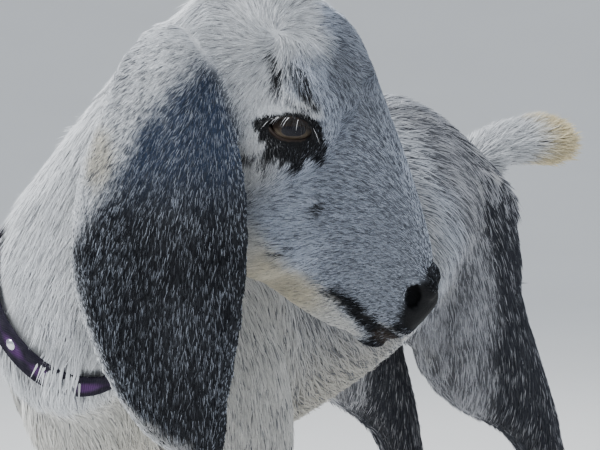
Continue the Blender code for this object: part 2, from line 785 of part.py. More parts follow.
def part_body(forms):
    """Torso, neck and legs from one skin."""
    pieces = [forms["trunk"], forms["neck"], forms["skull_back"]]
    pieces += forms["legs"] + forms["brisket"]
    pieces += [piece for piece in forms["face"] if piece.name.startswith(REAR_FORMS)]
    whole = largest(fused("body", pieces, 0.3, 14, 1.0))
    thinned(whole, BODY_FACES)
    nodes = {}
    for name, profile, side, step in LEGS:
        leg = whole.copy()
        leg.data = whole.data.copy()
        bpy.context.scene.collection.objects.link(leg)
        space = leg_space(name + "_space", leg_table(profile, side, step), side)
        nodes[name] = largest(boolean(leg, [space], "INTERSECT"))
        nodes[name].name = name
        remove([space])
    spaces = [
        leg_space(name + "_space", leg_table(profile, side, step), side, GAP)
        for name, profile, side, step in LEGS
    ]
    boolean(whole, spaces, "DIFFERENCE")
    remove(spaces)
    largest(whole)
    neck = whole.copy()
    neck.data = whole.data.copy()
    bpy.context.scene.collection.objects.link(neck)
    cut_flat(neck, NECK_CUT_POINT, NECK_CUT_NORMAL, 1)
    space = head_space(GAP)
    nodes["neck"] = largest(boolean(largest(neck), [space], "DIFFERENCE"))
    remove([space])
    nodes["neck"].name = "neck"
    nodes["torso"] = largest(cut_flat(whole, NECK_CUT_POINT, NECK_CUT_NORMAL, -1))
    nodes["torso"].name = "torso"
    for name, *_rest in LEGS:
        largest(cut_flat(nodes[name], (0, 0, HOOF_HEIGHT), (0, 0, 1), 1))
    return nodes


def part_head(forms):
    """The head in finer detail, carved and then thinned."""
    pieces = [forms["skull"], forms["neck"]] + forms["face"]
    base = fused("head_base", pieces, 0.2, 12, 1.0)
    head = fused("head", [base] + forms["details"], 0.12, 3, 1.0)
    thinned(head, HEAD_FACES * 1.3)
    space = head_space()
    largest(boolean(head, [space], "INTERSECT"))
    remove([space])
    return carve_face(head)


def near_ear():
    """The right ear, hanging straight down and facing away from the cheek."""
    across = np.array((0.866, 0.5, 0.0))
    out = np.array((0.5, -0.866, 0.0))
    root = on_head((-4.9, 2.55, -0.6))
    stations = (
        (1.5, -1.6, -0.9, 1.7),
        (0.2, -1.9, 1.2, 2.35),
        (-2.6, -2.1, 2.0, 3.0),
        (-6.2, -2.4, 2.3, 3.9),
        (-9.8, -2.5, 2.3, EAR_HALF_WIDTH),
        (-12.5, -2.25, 2.1, 3.6),
        (-14.7, -1.9, 1.9, 3.0),
        (-16.6, -1.35, 1.7, 2.25),
        (-17.9, -0.65, 1.55, 1.4),
        (-19.1, -0.3, 1.45, 0.5),
    )
    rows = [
        np.append(root + across * side + out * off + np.array((0, 0, drop)), half)
        for drop, side, off, half in stations
    ]
    return ear("ear_right", rows, across, out, (0.75, 0.28))


def far_ear():
    """The left ear, hanging down between the head and the left shoulder."""
    root = on_head((-4.9, -2.5, -0.4))
    path = (
        (root[0] + 0.2, root[1] - 0.6, root[2] + 0.6),
        (root[0] + 0.1, root[1] + 1.2, root[2] - 0.2),
        (7.6, -18.6, root[2] - 2.6),
        (7.4, -19.5, root[2] - 6.2),
        (7.5, -20.2, root[2] - 9.8),
        (7.6, -20.4, root[2] - 12.6),
        (7.7, -20.5, root[2] - 14.9),
        (7.7, -20.6, root[2] - 16.8),
        (7.7, -20.6, root[2] - 18.2),
        (7.7, -20.6, root[2] - 19.4),
    )
    spread = (1.6, 2.3, 3.0, 3.7, 3.85, 3.5, 2.9, 2.15, 1.3, 0.5)
    rows = [np.append(place, half) for place, half in zip(path, spread)]
    across, out = (0.81, 0.59, 0.0), (-0.59, 0.81, 0.0)
    return ear("ear_left", rows, across, out, (0.7, 0.24), 62)


def tail_form():
    """The raised tail with a fringe of long locks fused to its dock."""
    rows = smooth_rows(TAIL, 18)
    pieces = [rod("dock", rows[:, :3], rows[:, 3], 12)]
    draw = np.random.default_rng(7)
    along = unit(np.gradient(rows[:, :3], axis=0))
    for index in range(TAIL_LOCKS):
        place = 3 + (index * 14) / (TAIL_LOCKS - 1)
        low = int(min(place, 16))
        centre = rows[low, :3] + (rows[low + 1, :3] - rows[low, :3]) * (place - low)
        radius = rows[low, 3]
        forward = along[low]
        turn = index * 2.4
        first = unit(np.cross(forward, (0, 0, 1)))
        second = np.cross(forward, first)
        outward = first * math.cos(turn) + second * math.sin(turn)
        lean = 0.24 + 0.14 * draw.random()
        length = TAIL_LOCK_LENGTH * (0.75 + 0.35 * draw.random())
        start = centre + outward * radius * 0.35
        way = unit(outward * lean + forward)
        bend = forward * 0.7 + np.array((0.12, 0.05, -0.3))
        marks = np.linspace(0, 1, 6)[:, None]
        path = start + way * length * marks + bend * length * 0.35 * marks**2
        wide = 0.5 * (1 - marks[:, 0] ** 1.6) + 0.06
        flat = np.cross(way, outward)
        pieces.append(lock("lock", path, unit(flat), outward, wide))
    whole = joined("tail", pieces)
    remove(pieces)
    skin = whole.modifiers.new("skin", "REMESH")
    skin.mode = "VOXEL"
    skin.voxel_size = 0.09 * CM
    return largest(thinned(applied(whole), TAIL_FACES))


def lock(name, path, across, lift, wide):
    """A flat tapered lock: a four-sided blade along a path."""
    rings = [
        np.stack((p + across * w, p + lift * w * 0.4, p - across * w, p - lift * w * 0.4))
        for p, w in zip(path, wide)
    ]
    return loft(name, rings)


def collar_form(under):
    """A webbing band that follows the neck's surface, and the stud that closes it."""
    trees = []
    for made in under:
        shell = bmesh.new()
        shell.from_mesh(made.data)
        trees.append(BVHTree.FromBMesh(shell))
        shell.free()
    middle, way = np.array(COLLAR_HUB), unit(np.array(COLLAR_AXIS))
    left = unit(np.cross(way, (0.0, 0.0, 1.0)))
    crest = np.cross(left, way)
    angle = np.linspace(0, 2 * np.pi, 36, endpoint=False)
    lift = COLLAR_LIFT * (0.5 + 0.5 * np.cos(angle - math.radians(150))) ** 1.5
    outward = left * np.cos(angle)[:, None] + crest * np.sin(angle)[:, None]
    reach = np.zeros((2, 36))
    hubs = np.empty((2, 36, 3))
    for row, shift in enumerate((-0.5, 0.5)):
        hubs[row] = middle + way * (shift * COLLAR_WIDTH + lift)[:, None]
        for step in range(36):
            start = Vector(((hubs[row, step] + outward[step] * 12.0) * CM).tolist())
            for tree in trees:
                hit = tree.ray_cast(start, Vector((-outward[step]).tolist()), 12.0 * CM)
                if hit[0] is not None:
                    reach[row, step] = max(reach[row, step], 12.0 - hit[3] / CM)
    reach = np.clip(reach, *COLLAR_REACH)
    for _round in range(2):
        reach = (np.roll(reach, 1, 1) + 2 * reach + np.roll(reach, -1, 1)) / 4
    reach = reach + COLLAR_STAND
    level = hubs + outward[None] * reach[:, :, None]
    proud = level + outward[None] * COLLAR_THICKNESS
    rings = np.stack((level[0], level[1], proud[1], proud[0]), axis=1)
    count = len(rings)
    points = rings.reshape(-1, 3)
    faces = []
    for step in range(count):
        after = (step + 1) % count
        for corner in range(4):
            following = (corner + 1) % 4
            faces.append(
                (
                    step * 4 + corner,
                    step * 4 + following,
                    after * 4 + following,
                    after * 4 + corner,
                )
            )
    band = mesh_object("collar", points, faces)
    spot = COLLAR_STUD
    base = proud[:, spot].mean(axis=0)
    frame = np.array((way, np.cross(outward[spot], way), outward[spot]))
    stud = ball("collar_stud", base, (STUD_RADIUS, STUD_RADIUS, 0.22), frame, 12, 6)
    cut_flat(stud, base, outward[spot], 1)
    return band, stud


def finish(made, colour, roughness, metallic=0.0):
    """Gives the piece its material and its place in the goat's collection."""
    look = bpy.data.materials.new(made.name)
    look.use_nodes = True
    shader = look.node_tree.nodes["Principled BSDF"]
    shader.inputs["Base Color"].default_value = (*colour, 1.0)
    shader.inputs["Roughness"].default_value = roughness
    shader.inputs["Metallic"].default_value = metallic
    made.data.materials.clear()
    made.data.materials.append(look)
    made.data.shade_smooth()
    made.data.set_sharp_from_angle(angle=math.radians(50))


def stand_on_origin(nodes):
    """Moves the whole goat so that the middle of its footprint box is the origin."""
    corners = []
    for made in nodes.values():
        count = len(made.data.vertices)
        points = np.empty(count * 3, np.float32)
        made.data.vertices.foreach_get("co", points)
        points = points.reshape(-1, 3)
        corners += [points.min(axis=0), points.max(axis=0)]
    low, high = np.min(corners, axis=0), np.max(corners, axis=0)
    middle = (low + high) / 2
    shift = Matrix.Translation((-float(middle[0]), -float(middle[1]), 0.0))
    for made in nodes.values():
        made.data.transform(shift)


def build():
    for old in list(bpy.data.objects):
        bpy.data.objects.remove(old)
    forms = flesh_pieces()
    nodes = part_body(forms)
    nodes["head"] = part_head(forms)
    guides = [made for made in bpy.data.objects if made not in nodes.values()]
    remove(guides)

    for side, word in ((1, "right"), (-1, "left")):
        centre = (EYE_CENTRE[0], side * EYE_CENTRE[1], EYE_CENTRE[2])
        eye = ball("eye_" + word, on_head(centre), (EYE_RADIUS,) * 3, HEAD, 16, 10)
        nodes[eye.name] = eye
    nodes["ear_right"] = meets(near_ear(), [nodes["head"], nodes["neck"]])
    nodes["ear_left"] = meets(far_ear(), [nodes["head"], nodes["neck"]])
    nodes["tail"] = meets(tail_form(), [nodes["torso"]])
    under = [nodes[name] for name in COLLAR_OVER]
    band, stud = collar_form(under)
    nodes["collar"] = band
    nodes["collar_stud"] = stud
    meets(stud, [band])
    for made in under:
        meets(made, [band, stud])
    meets(band, under, GAP / 2)
    for name, profile, side, step in LEGS:
        toe = leg_table(profile, side, step)[-1][:3]
        for half, word in ((-1, "right"), (1, "left")):
            hoof = claw(name.replace("leg", "hoof") + "_" + word, toe, half)
            nodes[hoof.name] = hoof

    goat = bpy.data.collections.new("nubian_goat")
    bpy.context.scene.collection.children.link(goat)
    for name, made in nodes.items():
        made.name = name
        for holder in list(made.users_collection):
            holder.objects.unlink(made)
        goat.objects.link(made)
        if name.startswith("hoof"):
            finish(made, HORN, 0.5)
        elif name.startswith("eye"):
            finish(made, EYE_COLOUR, 0.08)
        elif name.startswith("ear"):
            finish(made, DARK_EAR, 0.85)
        elif name == "collar":
            finish(made, WEBBING, 0.8)
        elif name == "collar_stud":
            finish(made, STEEL, 0.3, 1.0)
        elif name.startswith("leg_hind"):
            finish(made, GREY_COAT, 0.85)
        else:
            finish(made, WHITE_COAT, 0.85)
    stand_on_origin(nodes)


build()
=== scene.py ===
"""Skin, coat, eyes, hooves, collar and stage of a life-size standing nubian goat."""

import math

import bmesh
import bpy
import numpy as np
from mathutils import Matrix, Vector
from mathutils.bvhtree import BVHTree


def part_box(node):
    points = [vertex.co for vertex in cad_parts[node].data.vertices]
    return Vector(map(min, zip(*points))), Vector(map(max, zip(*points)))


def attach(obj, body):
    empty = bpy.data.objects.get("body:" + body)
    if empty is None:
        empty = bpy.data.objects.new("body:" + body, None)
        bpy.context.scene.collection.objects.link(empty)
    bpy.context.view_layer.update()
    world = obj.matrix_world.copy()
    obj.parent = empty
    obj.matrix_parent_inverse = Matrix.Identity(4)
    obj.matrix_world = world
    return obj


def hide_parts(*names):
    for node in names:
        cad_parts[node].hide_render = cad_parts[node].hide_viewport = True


bl_info = {
    "name": "Nubian goat",
    "version": (1, 0),
    "blender": (4, 5, 0),
    "location": "View3D > Sidebar > Goat",
    "description": "Dresses the solids of a standing goat with skin, coat and collar",
    "category": "Object",
}

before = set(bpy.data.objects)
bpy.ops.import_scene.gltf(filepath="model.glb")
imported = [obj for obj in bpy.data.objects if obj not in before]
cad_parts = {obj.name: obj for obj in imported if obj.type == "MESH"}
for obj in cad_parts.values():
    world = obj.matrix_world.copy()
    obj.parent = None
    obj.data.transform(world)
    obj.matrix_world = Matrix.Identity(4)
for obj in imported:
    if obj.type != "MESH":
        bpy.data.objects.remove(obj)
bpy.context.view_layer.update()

MM = 0.001
CM = 0.01

# Every table with a number for each part follows this order
FLESH = (
    "head", "neck", "torso", "tail", "ear_left", "ear_right",
    "leg_front_left", "leg_front_right", "leg_hind_left", "leg_hind_right",
)
HEAD_PART, NECK_PART, TORSO_PART, TAIL_PART, LEFT_EAR_PART, RIGHT_EAR_PART = range(6)
LEG_PARTS = (6, 7, 8, 9)
FIRST_LEG, LAST_FRONT_LEG, FIRST_HIND_LEG, LAST_LEG = LEG_PARTS
SKIN_DEPTH = np.array((0.7, 2.0, 2.6, 0.5, 0.35, 0.35, 1.0, 1.0, 2.2, 2.2)) * MM
TUFT_WIDTH = np.array((0.38, 0.60, 0.85, 0.75, 0.40, 0.40, 0.70, 0.70, 0.62, 0.62)) * MM
TUFTS_PER_CM2 = np.array((212, 74, 25, 95, 165, 165, 38, 38, 40, 40))

# The head's turn in degrees, and places on it in centimetres: forward, right, up of the eyes
HEADING = 36.0
PITCH = 48.5
ROLL = 16.0
EYE_RADIUS = 1.1
EYE_SIDE = 2.95
LID_HALF_WIDTH = 1.15
LID_HALF_HEIGHT = 0.56
LID_TILT = 38.0
NOSTRIL = (9.95, 1.5, -1.2)
NOSTRIL_DEPTH = 3.4 * MM
MOUTH_CORNER = (6.8, -4.3)
MOUTH_FRONT = (11.0, -3.45)
WHORL = (-3.6, 2.3, 2.1)
EAR_BASE = (-4.9, 2.55, 0.4)
# The claws, in centimetres
HOOF_LENGTH = 3.7
HOOF_HEIGHT = 2.7
# How far the head reaches from the eye line, and the height where the coat ends, in metres
HEAD_REACH = 0.16
COAT_END = 0.026
# The coarse copy of the skin that is unwrapped, and the size of a tuft on the unwrap
UNWRAP_FACES = 6000
PATCH_SIZE = 0.0015

# The collar's hub in centimetres from the eye line, the way along the neck, and how far
# up the neck it rides at the turn of its crest
COLLAR_HUB = (-11.36, -2.6, -10.0)
COLLAR_AXIS = (0.70, -0.32, 0.64)
COLLAR_LIFT = 3.6
COLLAR_CREST = 150.0
COLLAR_WIDTH = 1.6
BAND_HALF = COLLAR_WIDTH * CM / 2
BAND_THICK = 1.7 * MM
BAND_FAR = 0.085
RAY_LENGTH = 0.12
STUD_RADIUS = 3.4 * MM
STUD_HEIGHT = 1.8 * MM
# The lock over the band: turn and half width in degrees, lengths in millimetres, width, lift
LOCK_TURN = 55
LOCK_HALF = 11
LOCK_LENGTHS = (14, 25)
LOCK_WIDER = 2.6
LOCK_LIFT = 3.4 * MM

# The stage: lights with place, size, power and colour, and the camera's place from the eye
# line in centimetres, with its dip and heading in degrees
FLOOR_SIDES = 96
LIGHTS = (
    ("key light", (-0.9, -1.4, 2.3), 0.9, 92.0, (0.97, 0.99, 1.0)),
    ("fill light", (1.9, -1.6, 0.9), 1.6, 12.0, (0.80, 0.88, 1.0)),
    ("back light", (-0.8, 1.8, 2.2), 1.4, 40.0, (1.0, 0.99, 0.97)),
)
LIGHT_AIM = (0.0, -0.1, 0.40)
CAMERA_PLACE = (63.09, -109.2, 2.0)
CAMERA_DIP = 3.33
CAMERA_HEADING = 30
LENS = 160
# The way to the right in the camera's picture
PICTURE_RIGHT = np.array((0.866, 0.5, 0.0))

# Where the hair of the tail fans out from, in centimetres from the eye line
TAIL_ROOT = (-13.3, 44.8, -5.3)
# Bends of the neck from the chest to the head, in centimetres from the eye line
NECK_PATH = (
    (-13.2, 4.9, -9.5), (-12.9, 0.8, -9.5), (-12.0, -1.9, -9.3), (-10.5, -3.0, -7.9),
    (-8.3, -3.1, -5.3), (-6.1, -2.7, -2.5), (-4.0, -2.2, 0.3), (-2.4, -1.8, 2.4),
)
# The dock of the tail, in centimetres from the eye line: place and radius
DOCK = (
    (-13.4, 43.8, -6.2, 1.25),
    (-13.3, 46.0, -4.2, 1.40),
    (-12.9, 47.6, -3.2, 1.20),
    (-12.2, 49.0, -2.8, 1.25),
    (-11.2, 50.3, -2.6, 1.35),
    (-10.3, 51.2, -2.8, 1.15),
    (-9.7, 51.8, -3.2, 0.6),
)

# Markings of the face, as places forward and up on the head in centimetres
EYE_PATCH = (
    (-1.31, -1.1), (-1.27, -0.64), (-0.98, -0.12), (-0.78, 0.3), (-0.38, 0.84),
    (0.06, 1.16), (0.63, 1.18), (1.21, 0.94), (1.91, 0.6), (2.2, 0.26), (2.34, -0.23),
    (1.83, -0.12), (1.43, -0.11), (1.81, -0.71), (1.99, -1.37), (1.55, -1.32),
    (1.0, -1.05), (1.17, -1.58), (0.62, -1.37), (0.55, -1.73), (0.47, -2.08),
    (0.09, -1.91), (-0.11, -1.42), (-0.47, -1.51), (-0.88, -1.37),
)
# Dark streaks of the face: two ends, half the width and the share of dark hairs
FACE_STREAKS = (
    ((-2.95, 1.5), (-2.4, 1.2), 0.16, 0.55),
    ((-2.4, 1.2), (-1.8, 0.62), 0.22, 0.85),
    ((-2.1, 1.85), (-1.42, 1.69), 0.32, 0.58),
    ((-1.42, 1.69), (-0.75, 1.6), 0.24, 0.72),
    ((-0.75, 1.6), (0.04, 1.5), 0.12, 0.85),
    ((-1.14, 0.78), (-0.24, 1.28), 0.05, 0.6),
    ((3.82, -1.9), (3.95, -1.3), 0.07, 0.97),
    ((4.02, -1.85), (4.1, -1.45), 0.05, 0.97),
    ((4.3, -4.0), (4.5, -3.85), 0.05, 0.9),
    ((4.2, -4.65), (4.35, -4.5), 0.05, 0.9),
    ((-0.49, -2.59), (-0.08, -2.35), 0.13, 0.97),
    ((0.79, -2.32), (1.19, -2.26), 0.09, 0.97),
    ((1.4, -3.75), (1.6, -3.65), 0.10, 0.95),
)
# Where the dark of the nose begins: heights, and places forward
NOSE_EDGE = (
    (-3.4, -2.65, -1.9, -1.3, -0.7, 0.05, 1.0),
    (10.2, 10.4, 9.9, 9.35, 9.5, 9.7, 10.3),
)
# Where the dark of an ear begins: places across it, and falls below its base
EAR_DARK = (
    (-4.2, -3.0, -2.7, -1.76, -1.24, -1.0, -0.1, 0.3, 0.6, 1.1, 1.9, 2.7),
    (8.5, 7.7, 6.5, 5.6, 4.75, 4.1, 3.5, 2.9, 2.35, 1.7, 1.25, 1.0),
)

# From an ear's base to the middle of the ear in the picture, in centimetres
EAR_SHIFT = 3.16
# Sizes of the fine, broad and wide spots of the coat, in millimetres
NOISE_GRAINS = (3.5, 14, 45)
COLOUR_NAMES = ("white", "silver", "blue_grey", "black", "charcoal", "cream")
# Painted light: a blue cast of skylight on dark ear hair that faces up
PAINTED_SKY_BLUE = np.array((0.05, 0.08, 0.15))
LIP_BROWN = np.array((0.05, 0.032, 0.018))

SKIN = {}


def unit(vectors):
    """Each vector divided by its length."""
    size = np.linalg.norm(vectors, axis=-1, keepdims=True)
    return vectors / np.maximum(size, 1e-12)


def head_axes():
    """The head's forward, right and up: a heading about Z, a pitch down and a roll."""
    heading, pitch, roll = (math.radians(angle) for angle in (HEADING, PITCH, ROLL))
    flat = np.array((math.cos(heading), math.sin(heading), 0.0))
    level_right = np.array((math.sin(heading), -math.cos(heading), 0.0))
    rise = np.array((0.0, 0.0, 1.0))
    forward = math.cos(pitch) * flat - math.sin(pitch) * rise
    level_up = math.sin(pitch) * flat + math.cos(pitch) * rise
    up = math.cos(roll) * level_up + math.sin(roll) * level_right
    right = math.cos(roll) * level_right - math.sin(roll) * level_up
    return np.array((forward, right, up))


def middle_of(node):
    """The middle of a node's box."""
    low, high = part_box(node)
    return (np.array(low) + np.array(high)) / 2


def eye_middle(side):
    """The middle of the right eye for 1, of the left one for -1."""
    return middle_of("eye_right" if side > 0 else "eye_left")


HEAD = head_axes()
EYE_LINE = (eye_middle(-1) + eye_middle(1)) / 2


def on_head(places):
    """Places in the head's centimetres, as points of the frame."""
    return np.asarray(places, float) @ HEAD * CM + EYE_LINE


def from_head(points):
    """Points of the frame as forward, right and up of the eye line, in centimetres."""
    return (points - EYE_LINE) @ HEAD.T / CM


def from_eyes(places):
    """Places in centimetres along the world's axes from the eye line, as points."""
    return np.asarray(places, float) * CM + EYE_LINE


def ear_base(side):
    """Where an ear leaves the head: the right one for 1, the left one for -1."""
    return on_head((EAR_BASE[0], side * EAR_BASE[1], EAR_BASE[2]))


def across_picture(points, origin):
    """How far points lie to the right of an origin in the picture, in centimetres."""
    return (points - origin) @ PICTURE_RIGHT / CM


def flattened(vectors, normals):
    """The part of each vector that lies along the surface."""
    return vectors - normals * (vectors * normals).sum(axis=1, keepdims=True)


def ease(low, high, values):
    """0 below low, 1 above high and a smooth step between them."""
    share = np.clip((values - low) / (high - low), 0, 1)
    return share * share * (3 - 2 * share)


def noise(points, grain, seed):
    """A smooth random field from 0 to 1: a wrapped lattice of random values, blended."""
    side = 24
    lattice = np.random.default_rng(seed).random((side, side, side))
    scaled = np.asarray(points) / grain
    cell = np.floor(scaled).astype(int)
    part = scaled - cell
    part = part * part * (3 - 2 * part)
    total = np.zeros(len(scaled))
    for corner in np.ndindex(2, 2, 2):
        share = np.where(corner, part, 1 - part).prod(axis=1)
        near = (cell + corner) % side
        total += share * lattice[near[:, 0], near[:, 1], near[:, 2]]
    return total


def streak(flat, start, end, radius, soft):
    """1 inside a rounded bar between two places of a plane, fading over soft."""
    start, end = np.array(start), np.array(end)
    along = end - start
    share = np.clip(((flat - start) @ along) / max(along @ along, 1e-9), 0, 1)
    off = np.linalg.norm(flat - (start + share[:, None] * along), axis=1)
    return 1 - ease(radius, radius + soft, off)


def inside(flat, outline):
    """1 for the points of a plane that lie inside a closed outline, 0 for the others."""
    within = np.zeros(len(flat), bool)
    corners = np.array(outline)
    for (ax, ay), (bx, by) in zip(corners, np.roll(corners, -1, axis=0)):
        level = (ay > flat[:, 1]) != (by > flat[:, 1])
        cross = ax + (flat[:, 1] - ay) * (bx - ax) / (by - ay if by != ay else 1.0)
        within ^= level & (flat[:, 0] < cross)
    return within.astype(float)


def linked(name, data):
    """A new object of the scene with this data."""
    made = bpy.data.objects.new(name, data)
    bpy.context.scene.collection.objects.link(made)
    return made


def values_of(items, key, width, kind=np.float32):
    """One property of all the items, in rows of a width."""
    flat = np.empty(len(items) * width, kind)
    items.foreach_get(key, flat)
    return flat.reshape(-1, width)


def turns(count):
    """Even turns of a full circle."""
    return np.linspace(0, 2 * np.pi, count, endpoint=False)


def mesh_piece(name, points, faces, smooth=True):
    """An object at the origin whose mesh holds these points and faces of equal sides."""
    faces = np.asarray(faces, np.int32)
    count, sides = faces.shape
    mesh = bpy.data.meshes.new(name)
    mesh.vertices.add(len(points))
    mesh.vertices.foreach_set("co", np.asarray(points, np.float32).ravel())
    mesh.loops.add(count * sides)
    mesh.loops.foreach_set("vertex_index", faces.ravel())
    mesh.polygons.add(count)
    mesh.polygons.foreach_set("loop_start", np.arange(0, count * sides, sides, dtype=np.int32))
    mesh.update(calc_edges=True)
    mesh.polygons.foreach_set("use_smooth", np.full(count, smooth))
    return linked(name, mesh)


def grid_faces(rows, columns, looped=False):
    """Quads between rows of points that are closed rings; looped joins last and first."""
    row, column = np.meshgrid(
        np.arange(rows if looped else rows - 1), np.arange(columns), indexing="ij"
    )
    after = (column + 1) % columns
    here, there = row * columns, (row + 1) % rows * columns
    quads = np.stack((here + column, here + after, there + after, there + column), -1)
    return quads.reshape(-1, 4)


def outward(points, faces):
    """The faces, all turned round if the closed surface they make is inside out."""
    a, b, c = (points[faces[:, corner]] for corner in range(3))
    return faces[:, ::-1] if np.einsum("fc,fc->", a, np.cross(b, c)) < 0 else faces


def arrays_of(mesh):
    """The points and triangles of a mesh."""
    mesh.calc_loop_triangles()
    points = values_of(mesh.vertices, "co", 3).astype(float)
    return points, values_of(mesh.loop_triangles, "vertices", 3, np.int32)


def applied(made):
    """The mesh of an object with its modifiers, which replaces its own."""
    graph = bpy.context.evaluated_depsgraph_get()
    fresh = bpy.data.meshes.new_from_object(made.evaluated_get(graph))
    made.modifiers.clear()
    old, made.data = made.data, fresh
    bpy.data.meshes.remove(old)
    return made


def discard(made):
    """Removes an object and its mesh."""
    mesh = made.data
    bpy.data.objects.remove(made)
    bpy.data.meshes.remove(mesh)


def normals_of(points, faces):
    """Unit normals of the points: the sum of the cross products of their faces."""
    a, b, c = (points[faces[:, corner]] for corner in range(3))
    across = np.cross(b - a, c - a)
    total = np.zeros_like(points)
    for corner in range(3):
        for axis in range(3):
            total[:, axis] += np.bincount(faces[:, corner], across[:, axis], len(points))
    return unit(total)


def edges_of(faces):
    """Each pair of joined points once."""
    pairs = np.concatenate((faces[:, :2], faces[:, 1:], faces[:, ::2]))
    return np.unique(np.sort(pairs, axis=1), axis=0)


def spread(values, edges, rounds):
    """Each round sets every value to the mean of its own and its neighbours'."""
    first, second = edges.T
    count = len(values)
    degree = np.bincount(first, minlength=count) + np.bincount(second, minlength=count)
    for _round in range(rounds):
        total = values.copy()
        for column in range(values.shape[1]):
            total[:, column] += np.bincount(first, values[second, column], count)
            total[:, column] += np.bincount(second, values[first, column], count)
        values = total / (1 + degree)[:, None]
    return values


def largest_shell(points, faces):
    """The closed surface with the most points: each point takes its shell's lowest number."""
    label = np.arange(len(points))
    while True:
        fresh = label.copy()
        lowest = label[faces].min(axis=1)
        np.minimum.at(fresh, faces.ravel(), np.repeat(lowest, 3))
        fresh = fresh[fresh]
        if (fresh == label).all():
            break
        label = fresh
    best = np.bincount(label).argmax()
    kept = label == best
    number = np.cumsum(kept) - 1
    return points[kept], number[faces[kept[faces[:, 0]]]]


class Value:
    """A socket's value: sums and products of it add Math nodes."""

    def __init__(self, finish, socket):
        self.finish = finish
        self.socket = socket

    def math(self, operation, *others):
        return self.finish.add("Math", {"operation": operation}, (self, *others))

    def clamped(self):
        return self.math("MAXIMUM", 0.0).math("MINIMUM", 1.0)

    def __add__(self, other):
        return self.math("ADD", other)

    def __mul__(self, other):
        return self.math("MULTIPLY", other)

    def __sub__(self, other):
        return self.math("SUBTRACT", other)

    def __rsub__(self, other):
        return self.finish.add("Math", {"operation": "SUBTRACT"}, (other, self))

    def __truediv__(self, other):
        return self.math("DIVIDE", other)

    def __pow__(self, other):
        return self.math("POWER", other)

    __radd__ = __add__
    __rmul__ = __mul__


class Finish:
    """A material being made, with one method that adds any node to it."""

    def __init__(self, name):
        self.material = bpy.data.materials.new(name)
        self.material.use_nodes = True
        self.tree = self.material.node_tree
        self.tree.nodes.clear()

    def add(self, kind, settings, sockets, output=0):
        """A node: its settings first, then the values or links of its sockets."""
        node = self.tree.nodes.new("ShaderNode" + kind)
        for key, value in settings.items():
            setattr(node, key, value)
        named = sockets.items() if isinstance(sockets, dict) else enumerate(sockets)
        for key, value in named:
            if isinstance(value, Value):
                self.tree.links.new(value.socket, node.inputs[key])
            elif node.inputs[key].type == "RGBA" and len(value) == 3:
                node.inputs[key].default_value = (*value, 1)
            else:
                node.inputs[key].default_value = value
        return Value(self, node.outputs[output]) if node.outputs else None

    def blend(self, share, first, second):
        """A colour mix of two colours."""
        settings = {"data_type": "RGBA", "clamp_factor": True}
        return self.add("Mix", settings, {0: share, 6: first, 7: second}, 2)

    def place(self):
        """Object coordinates, in metres."""
        return self.add("TexCoord", {}, {}, 3)

    def field(self, name, output=0):
        """The value of an attribute of the points."""
        return self.add("Attribute", {"attribute_name": name}, {}, output)

    def grain(self, scale, detail=3.0, where=None):
        """A noise value, its scale in cells a metre."""
        where = where or self.place()
        return self.add("TexNoise", {}, {"Vector": where, "Scale": scale, "Detail": detail})

    def bump(self, height, strength, distance):
        """A normal raised by height."""
        return self.add(
            "Bump", {}, {"Height": height, "Strength": strength, "Distance": distance}
        )

    def surface(self, **sockets):
        """The closing shader, its sockets named with underscores for spaces."""
        named = {key.replace("_", " "): value for key, value in sockets.items()}
        shader = self.add("BsdfPrincipled", {}, named)
        self.add("OutputMaterial", {}, {"Surface": shader})
        return self.material


def put_colours(made, name, colours):
    """A colour for each point of a mesh, kept as an attribute."""
    layer = made.data.attributes.new(name, "FLOAT_COLOR", "POINT")
    full = np.ones((len(colours), 4), np.float32)
    full[:, :3] = colours
    layer.data.foreach_set("color", full.ravel())


def put_vectors(made, name, vectors):
    """A vector for each point of a mesh, kept as an attribute."""
    layer = made.data.attributes.new(name, "FLOAT_VECTOR", "POINT")
    layer.data.foreach_set("vector", np.asarray(vectors, np.float32).ravel())


def dressed(made, material, slot, *nodes):
    """Finishes a piece: its material, the nodes it stands for, and its body. The slot is not used.
    """
    made.data.materials.clear()
    made.data.materials.append(material)
    if nodes:
        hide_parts(*nodes)
    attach(made, "root")


def rings_round(path, radius, first, second, sides):
    """A ring about each point of a path, in the plane of its first and second ways."""
    angle = turns(sides)[None, :, None]
    return path[:, None] + radius[:, None, None] * (
        first[:, None] * np.cos(angle) + second[:, None] * np.sin(angle)
    )


def tube(path, radius, sides=24):
    """A closed tube along a path: rings across its way, and a point at each end."""
    way = unit(np.gradient(path, axis=0))
    first = unit(np.cross(way, (0.0, 0.0, 1.0)))
    second = np.cross(way, first)
    return capped(rings_round(path, np.broadcast_to(radius, len(path)), first, second, sides))


def capped(rings):
    """The points and triangles of closed rings, with a point that closes each end."""
    rows, sides = rings.shape[:2]
    ends = np.stack((rings[0].mean(axis=0), rings[-1].mean(axis=0)))
    points = np.concatenate((rings.reshape(-1, 3), ends))
    quads = grid_faces(rows, sides)
    step = np.arange(sides)
    after = (step + 1) % sides
    low, high = np.full(sides, rows * sides), np.full(sides, rows * sides + 1)
    last = (rows - 1) * sides
    faces = np.concatenate(
        (
            quads[:, (0, 1, 2)],
            quads[:, (0, 2, 3)],
            np.stack((low, after, step), axis=1),
            np.stack((high, last + step, last + after), axis=1),
        )
    )
    return points, outward(points, faces)


